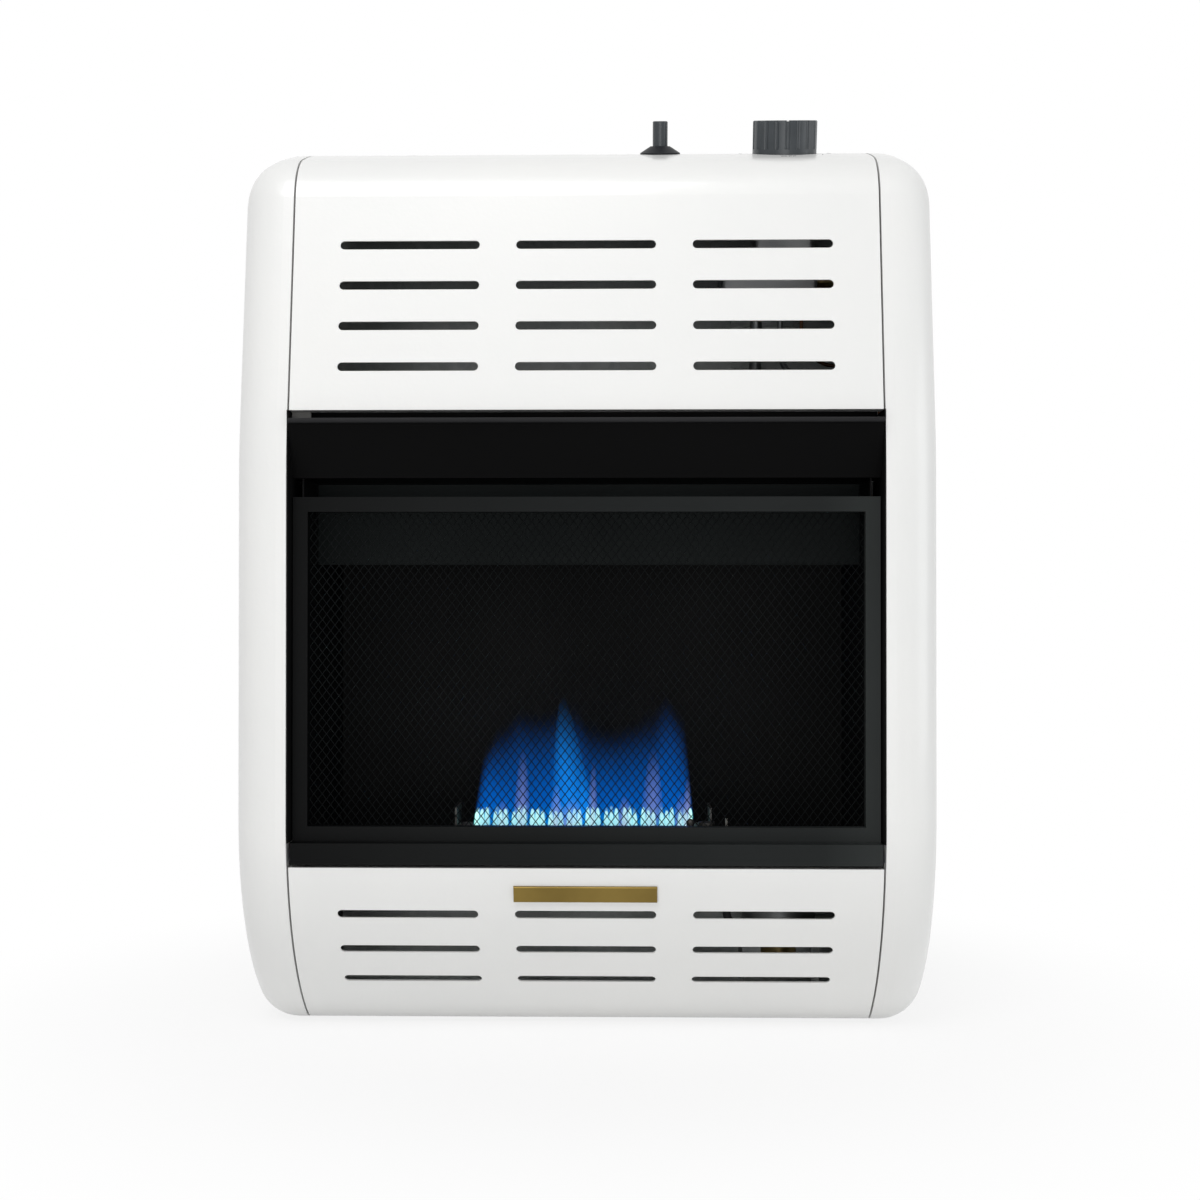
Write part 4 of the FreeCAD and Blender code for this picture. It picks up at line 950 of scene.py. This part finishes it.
@dataclass
class Burner(Assembly):
    """Burner, pilot and the flames over the ports.

    A root has its heat, radius and density, a plume its place, radius, height and lean, and a
    streak its place, radius, height and density.
    """

    heights: Sequence[float] = (
        0.049, 0.06, 0.071, 0.066, 0.07, 0.074, 0.062, 0.058, 0.061, 0.068, 0.077, 0.07)
    port_pitch: float = 0.0118
    row_pitch: float = 0.01
    rows: Sequence[float] = (-0.5, 0.5)
    root_seed: int = 11
    root_spots: Sequence[float] = (-0.27, 0.0, 0.27)
    root_sink: float = 0.001
    root_height: float = 0.0115
    root_spread: Band = (0.8, 1.1)
    roots: Sequence[tuple[Heat, float, float]] = (
        (Heat.RIM, 0.0022, 0.3), (Heat.ROOT, 0.0018, 0.95))
    plume_density: float = 0.13
    plumes: Sequence[tuple[float, float, float, float]] = (
        (-0.0062, 0.0142, 0.083, -0.0075), (-0.0195, 0.0055, 0.026, 0.002),
        (0.0025, 0.0062, 0.042, -0.003))
    streak_depth: float = -0.008
    streak_lean: float = 0.001
    streaks: Sequence[tuple[float, float, float, float]] = (
        (-0.0395, 0.00572, 0.05, 0.04125), (-0.018, 0.00442, 0.028, 0.055),
        (0.0055, 0.00364, 0.042, 0.044), (0.0435, 0.0078, 0.05, 0.03025),
        (0.0655, 0.00338, 0.032, 0.0715), (0.0255, 0.00546, 0.02, 0.0605),
        (-0.052, 0.00494, 0.018, 0.033), (-0.008, 0.0091, 0.019, 0.0605),
        (0.061, 0.00442, 0.022, 0.044))
    flatness: float = 0.6
    bluntness: float = 0.15
    roundness: float = 0.5
    inner_height: float = 0.4
    rings: int = 12
    sides: int = 12
    veil_seed: int = 5
    veil_places: Sequence[float] = (0.007, 0.0035, 0.0, -0.0035, -0.007)
    veil_spread: Band = (0.9, 1.1)
    veil_density: float = 0.46
    veil_fade: float = 1.7
    veil_edge: float = 0.006
    veil_side: float = 0.05
    veil_shrink: float = 0.09
    veil_columns: int = 66
    veil_rows: int = 16
    wave_height: float = 0.002
    wave_turns: float = 9.0
    wave_shift: float = 700.0
    base_rise: float = 1.4
    base_place: float = 0.9

    coats: ClassVar[Coats] = {
        BURNER_STEEL: ("burner_body", "venturi"),
        SOOTED_STEEL: ("burner_left_bracket", "burner_right_bracket", "pilot_plate",
                       "pilot_burner", "thermocouple_probe"),
        BRASS: ("injector",),
        CERAMIC: ("spark_electrode",),
        ZINC_STEEL: ("injector_bracket",),
    }

    def port_place(self, index: float) -> float:
        """Place of a port along the burner, from its middle.

        Args:
            index: Number of the port, counted from the left.

        Returns:
            The place in metres.
        """
        return (index - (len(self.heights) - 1) / 2) * self.port_pitch

    def tongues(self) -> list[Tongue]:
        """List the bright roots over the ports, the tall plumes and the pale streaks in front.

        Returns:
            The flames.
        """
        chance = random.Random(self.root_seed)
        listed = []
        for i in range(len(self.heights)):
            for row in self.rows:
                for spot in self.root_spots:
                    x = self.port_place(i + spot)
                    rise = self.root_height * chance.uniform(*self.root_spread)
                    for heat, radius, density in self.roots:
                        listed.append(Tongue(x, row * self.row_pitch, radius, rise, density, heat,
                                             ROOT_TAPER))
        for x, radius, height, lean in self.plumes:
            listed.append(Tongue(x, 0.0, radius, height, self.plume_density, Heat.HEART,
                                 PLUME_TAPER, lean))
        for x, radius, height, density in self.streaks:
            listed.append(Tongue(x, self.streak_depth, radius, height, density, Heat.STREAK,
                                 STREAK_TAPER, self.streak_lean))
        return listed

    def store(self, shape: Piece, densities: Sequence[float], heat: Heat) -> None:
        """Store density and heat on the points of a flame.

        Args:
            shape: A shell or sheet of flame.
            densities: Density of each point.
            heat: Its place on the glow's scale.
        """
        heats = [heat.value] * len(densities)
        for name, values in ((DENSITY_VALUE, densities), (HEAT_VALUE, heats)):
            stored = shape.data.attributes.new(name, "FLOAT", "POINT")
            stored.data.foreach_set("value", values)
        only(shape)
        bpy.ops.object.shade_smooth()

    def veil(self, depth: float, tops: Sequence[float], density: float, heat: Heat,
             foot: Vector) -> Piece:
        """Model one wavy sheet of the curtain from a grid that is drawn up over the ports.

        Args:
            depth: Its place across the burner.
            tops: Height of the flame over each port.
            density: Density at its foot.
            heat: Its place on the glow's scale.
            foot: Where the burner's middle is.

        Returns:
            The sheet, with density and heat stored on its points.
        """
        deselect()
        bpy.ops.mesh.primitive_grid_add(x_subdivisions=self.veil_columns,
                                        y_subdivisions=self.veil_rows, size=2.0)
        sheet = bpy.context.object
        last = len(tops) - 1
        reach = self.port_place(last) + self.veil_edge
        densities = []
        for point in sheet.data.vertices:
            across = point.co.x
            rise = (point.co.y + 1) / 2
            spot = (across + 1) / 2 * last
            left = min(int(spot), last - 1)
            blend = eased(spot - left)
            top = tops[left] * (1 - blend) + tops[left + 1] * blend
            turn = self.wave_turns * across + self.wave_shift * depth
            wave = self.wave_height * rise * math.sin(turn)
            side = across * reach * (1 - self.veil_shrink * rise)
            point.co = foot + Vector((side, depth + wave, top * rise))
            edge = min(1.0, (1 - abs(across)) / self.veil_side)
            densities.append(density * edge * (1 - rise) ** self.veil_fade)
        self.store(sheet, densities, heat)
        return sheet

    def shell(self, tongue: Tongue, share: float, foot: Vector) -> Piece:
        """Model one shell of a flame from a ball that is drawn up to a point.

        Args:
            tongue: Flame that it belongs to.
            share: Its size as a share of the whole flame.
            foot: Where the burner's middle is.

        Returns:
            The shell, with density and heat stored on its points.
        """
        deselect()
        bpy.ops.mesh.primitive_uv_sphere_add(segments=self.sides, ring_count=self.rings,
                                             radius=1.0)
        shell = bpy.context.object
        taper = tongue.taper
        tall = tongue.height * (self.inner_height + (1 - self.inner_height) * share)
        densities = []
        for point in shell.data.vertices:
            rise = (point.co.z + 1) / 2
            belly = min(1.0, rise / taper.foot + self.bluntness) ** self.roundness
            width = tongue.radius * share * belly * (1 - rise) ** taper.point
            around = Vector((point.co.x, point.co.y * self.flatness, 0.0))
            reach = math.hypot(point.co.x, point.co.y)
            if reach > 0:
                around *= width / reach
            spot = Vector((tongue.x + tongue.lean * rise, tongue.y, tall * rise))
            point.co = foot + around + spot
            densities.append(tongue.density * (1 - rise) ** taper.fade)
        self.store(shell, densities, tongue.heat)
        return shell

    def build(self) -> list[Piece]:
        """Model the flames as wavy sheets and nested shells over the ports.

        Returns:
            The flames.
        """
        low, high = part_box("burner_body")
        middle = (low + high) / 2
        foot = Vector((middle.x, middle.y, high.z - self.root_sink))
        chance = random.Random(self.veil_seed)
        shells = []
        for depth in self.veil_places:
            tops = [height * chance.uniform(*self.veil_spread) for height in self.heights]
            shells.append(self.veil(depth, tops, self.veil_density, Heat.VEIL, foot))
            bases = [self.root_height * self.base_rise] * len(self.heights)
            shells.append(self.veil(depth * self.base_place, bases, self.veil_density / 2,
                                    Heat.BASE, foot))
        for tongue in self.tongues():
            for step in range(tongue.taper.shells):
                shells.append(self.shell(tongue, (step + 1) / tongue.taper.shells, foot))
        flames = joined(shells, "flames")
        dress(flames, FLAME_GLOW.material())
        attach(flames, "root")
        return [flames]


@dataclass
class Controls(Assembly):
    """Knob, igniter and valve, with the dial's marks on the sloping top."""

    top_radius: float = 0.4
    mark_ring: float = 0.0295
    mark_height: float = 0.0058
    mark_depth: float = 0.00012
    mark_steps: int = 3
    first_angle: float = -90.0
    last_angle: float = 160.0
    marks: Sequence[str] = ("OFF", "1", "2", "3", "4", "5")
    pointer_length: float = 0.0125
    pointer_width: float = 0.0016
    pointer_depth: float = 0.0006
    pointer_sink: float = 0.0001
    knob_rise: float = 0.0205
    knob_radius: float = 0.0205

    coats: ClassVar[Coats] = {
        BLACK_PLASTIC: ("control_knob", "igniter_button"),
        BEZEL_BLACK: ("igniter_body", "igniter_bezel"),
        BRASS: ("valve_stem", "valve_push_pin"),
        CAST_METAL: ("valve_body",),
        ZINC_STEEL: ("valve_bracket", "bulb_clips"),
        AGED_COPPER: ("thermostat_bulb", "capillary_tube"),
        DARK_SILICONE: ("ignition_lead",),
    }

    def knob_frame(self) -> Matrix:
        """Place and lean of the knob.

        Returns:
            Its frame: X to the right, Y up the slope, Z out along its axis.
        """
        joint = next(joint for joint in frame["joints"] if joint["name"] == "knob_turn")
        out = Vector(joint["axis"]).normalized()
        turn = Matrix((RIGHT, out.cross(RIGHT), out)).transposed().to_4x4()
        return Matrix.Translation(Vector(joint["pos_m"])) @ turn

    def mark(self, text: str, angle: float) -> Piece:
        """Model one printed mark and lay it on the curved top beside the knob.

        Args:
            text: What it says.
            angle: Where it stands round the knob, in degrees.

        Returns:
            The mark.
        """
        deselect()
        bpy.ops.object.text_add()
        mark = bpy.context.object
        mark.data.body = text
        mark.data.size = self.mark_height
        mark.data.align_x = "CENTER"
        mark.data.align_y = "CENTER"
        mark.data.extrude = self.mark_depth
        mark.data.resolution_u = self.mark_steps
        bpy.ops.object.convert(target="MESH")
        mark = bpy.context.object
        turn = math.radians(angle)
        place = Vector((math.cos(turn), math.sin(turn), 0.0)) * self.mark_ring
        for point in mark.data.vertices:
            point.co += place
            point.co.z -= point.co.y ** 2 / (2 * self.top_radius)
        settle(mark, self.knob_frame())
        return mark

    def pointer(self) -> Piece:
        """Model the paint in the knob's groove: a bar with rounded ends.

        Returns:
            The pointer.
        """
        deselect()
        bpy.ops.mesh.primitive_cube_add(size=1.0)
        bar = bpy.context.object
        bar.name = "knob_pointer"
        size = (self.pointer_width, self.pointer_length, self.pointer_depth)
        settle(bar, Matrix.Diagonal((*size, 1.0)))
        soften(bar, self.pointer_depth)
        centre = Vector((0.0, -self.knob_radius + self.pointer_length / 2 + self.pointer_depth,
                         self.knob_rise - self.pointer_depth / 2 - self.pointer_sink))
        settle(bar, self.knob_frame() @ Matrix.Translation(centre))
        dress(bar, POINTER_WHITE.material())
        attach(bar, "knob")
        return bar

    def build(self) -> list[Piece]:
        """Model the dial's marks and the knob's pointer.

        Returns:
            The marks and the pointer.
        """
        step = (self.last_angle - self.first_angle) / (len(self.marks) - 1)
        marks = [self.mark(text, self.first_angle + i * step) for i, text in enumerate(self.marks)]
        dial = joined(marks, "dial_marks")
        dress(dial, PRINT_GREY.material())
        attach(dial, "root")
        return [dial, self.pointer()]


@dataclass
class GasTrain(Assembly):
    """Regulator, tubes and fittings."""

    coats: ClassVar[Coats] = {
        CAST_METAL: ("regulator_body",),
        BLACK_PLASTIC: ("regulator_cap",),
        BRASS: ("inlet_fitting", "tube_nuts"),
        ZINC_STEEL: ("regulator_saddle",),
        TUBE_METAL: ("supply_tube", "main_gas_tube", "pilot_tube"),
        AGED_COPPER: ("thermocouple_lead",),
    }


# Studio

class Lamp(Enum):
    """Soft lamps: place, size, power in watts and colour."""

    KEY = ((-0.3, -1.2, 1.7), 0.8, 13.2, (1.0, 1.0, 1.0))
    LOW = ((0.0, -1.3, 0.05), 0.6, 4.2, (1.0, 1.0, 1.0))
    SIDE = ((1.6, -0.3, 0.45), 0.8, 3.2, (0.96, 0.99, 1.0))


@dataclass
class Studio:
    """Pale floor, white background, soft lamps and the camera."""

    camera_place: Sequence[float] = (0.0274, -1.0767, 0.2604)
    yaw: float = -1.09
    pitch: float = 0.396
    roll: float = 0.014
    lens: float = 49.2
    sensor: float = 36.0
    near: float = 0.01
    floor_size: float = 30.0
    floor_drop: float = 0.0004
    floor_tone: float = 0.9
    floor_roughness: float = 0.9
    floor_shadow: float = 0.18
    shadow_core: float = 0.16
    shadow_reach: float = 0.48
    ambient: float = 0.43
    veil_bounces: int = 64
    aim: Sequence[float] = (0.0, 0.0, 0.28)

    def camera(self) -> None:
        """Set the camera to the photograph's view."""
        data = bpy.data.cameras.new("camera")
        data.lens = self.lens
        data.sensor_width = self.sensor
        data.sensor_fit = "HORIZONTAL"
        data.clip_start = self.near
        camera = bpy.data.objects.new("camera", data)
        bpy.context.scene.collection.objects.link(camera)
        upright = Matrix.Rotation(math.pi / 2 + math.radians(self.pitch), 4, "X")
        turn = Matrix.Rotation(-math.radians(self.yaw), 4, "Z") @ upright
        roll = Matrix.Rotation(math.radians(self.roll), 4, "Z")
        camera.matrix_world = Matrix.Translation(Vector(self.camera_place)) @ turn @ roll
        bpy.context.scene.camera = camera

    def lamps(self) -> None:
        """Hang the soft lamps."""
        for lamp in Lamp:
            place, size, power, colour = lamp.value
            data = bpy.data.lights.new(lamp.name.lower(), "AREA")
            data.shape = "SQUARE"
            data.size = size
            data.energy = power
            data.color = colour
            thing = bpy.data.objects.new(lamp.name.lower(), data)
            bpy.context.scene.collection.objects.link(thing)
            away = Vector(self.aim) - Vector(place)
            turn = away.to_track_quat("-Z", "Y").to_matrix().to_4x4()
            thing.matrix_world = Matrix.Translation(Vector(place)) @ turn

    def seen_rays(self, tree: bpy.types.NodeTree) -> Socket:
        """Value that is 1 for rays from the camera, mirrors and glass.

        Args:
            tree: Where the nodes go.

        Returns:
            The value.
        """
        path = tree.nodes.new("ShaderNodeLightPath")
        total = path.outputs["Is Camera Ray"]
        for name in ("Is Glossy Ray", "Is Transmission Ray"):
            node = tree.nodes.new("ShaderNodeMath")
            node.operation = "MAXIMUM"
            tree.links.new(total, node.inputs[0])
            tree.links.new(path.outputs[name], node.inputs[1])
            total = node.outputs[0]
        return total

    def world(self) -> None:
        """Light the scene softly, with a white background."""
        world = bpy.data.worlds.new("studio")
        bpy.context.scene.world = world
        world.use_nodes = True
        tree = world.node_tree
        node = tree.nodes.new("ShaderNodeMapRange")
        node.inputs["To Min"].default_value = self.ambient
        node.inputs["To Max"].default_value = 1.0
        tree.links.new(self.seen_rays(tree), node.inputs["Value"])
        background = tree.nodes["Background"]
        background.inputs["Color"].default_value = (1.0, 1.0, 1.0, 1.0)
        tree.links.new(node.outputs[0], background.inputs["Strength"])

    def floor(self) -> None:
        """Lay the pale floor, which keeps the shadow."""
        deselect()
        bpy.ops.mesh.primitive_plane_add(size=self.floor_size, location=(0, 0, -self.floor_drop))
        floor = bpy.context.object
        floor.name = "floor"
        material = bpy.data.materials.new("floor")
        material.use_nodes = True
        tree = material.node_tree
        shader = tree.nodes["Principled BSDF"]
        tone = self.floor_tone
        shader.inputs["Base Color"].default_value = (tone, tone, tone, 1.0)
        shader.inputs["Roughness"].default_value = self.floor_roughness
        shader.inputs["Specular IOR Level"].default_value = 0.0
        glow = tree.nodes.new("ShaderNodeEmission")
        place = tree.nodes.new("ShaderNodeTexCoord")
        away = tree.nodes.new("ShaderNodeVectorMath")
        away.operation = "LENGTH"
        tree.links.new(place.outputs["Object"], away.inputs[0])
        clear = tree.nodes.new("ShaderNodeMapRange")
        clear.interpolation_type = "SMOOTHSTEP"
        clear.inputs["From Min"].default_value = self.shadow_core
        clear.inputs["From Max"].default_value = self.shadow_reach
        clear.inputs["To Min"].default_value = 1.0 - self.floor_shadow
        tree.links.new(away.outputs["Value"], clear.inputs["Value"])
        share = tree.nodes.new("ShaderNodeMath")
        share.operation = "MULTIPLY"
        tree.links.new(clear.outputs[0], share.inputs[1])
        tree.links.new(self.seen_rays(tree), share.inputs[0])
        mix = tree.nodes.new("ShaderNodeMixShader")
        tree.links.new(share.outputs[0], mix.inputs[0])
        tree.links.new(shader.outputs[0], mix.inputs[1])
        tree.links.new(glow.outputs[0], mix.inputs[2])
        tree.links.new(mix.outputs[0], tree.nodes["Material Output"].inputs["Surface"])
        dress(floor, material)

    def make(self) -> None:
        """Set up the studio."""
        bpy.context.scene.view_settings.view_transform = "Standard"
        bpy.context.scene.cycles.transparent_max_bounces = self.veil_bounces
        self.camera()
        self.lamps()
        self.world()
        self.floor()


def main() -> None:
    """Build the heater's sub-assemblies in order, then the studio."""
    logging.basicConfig(level=logging.INFO)
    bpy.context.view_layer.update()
    for group in (Cabinet(), FireGuard(), Firebox(), Burner(), Controls(), GasTrain()):
        group.make()
        log.info("%s done", type(group).__name__)
    Studio().make()


if __name__ == "__main__":
    main()
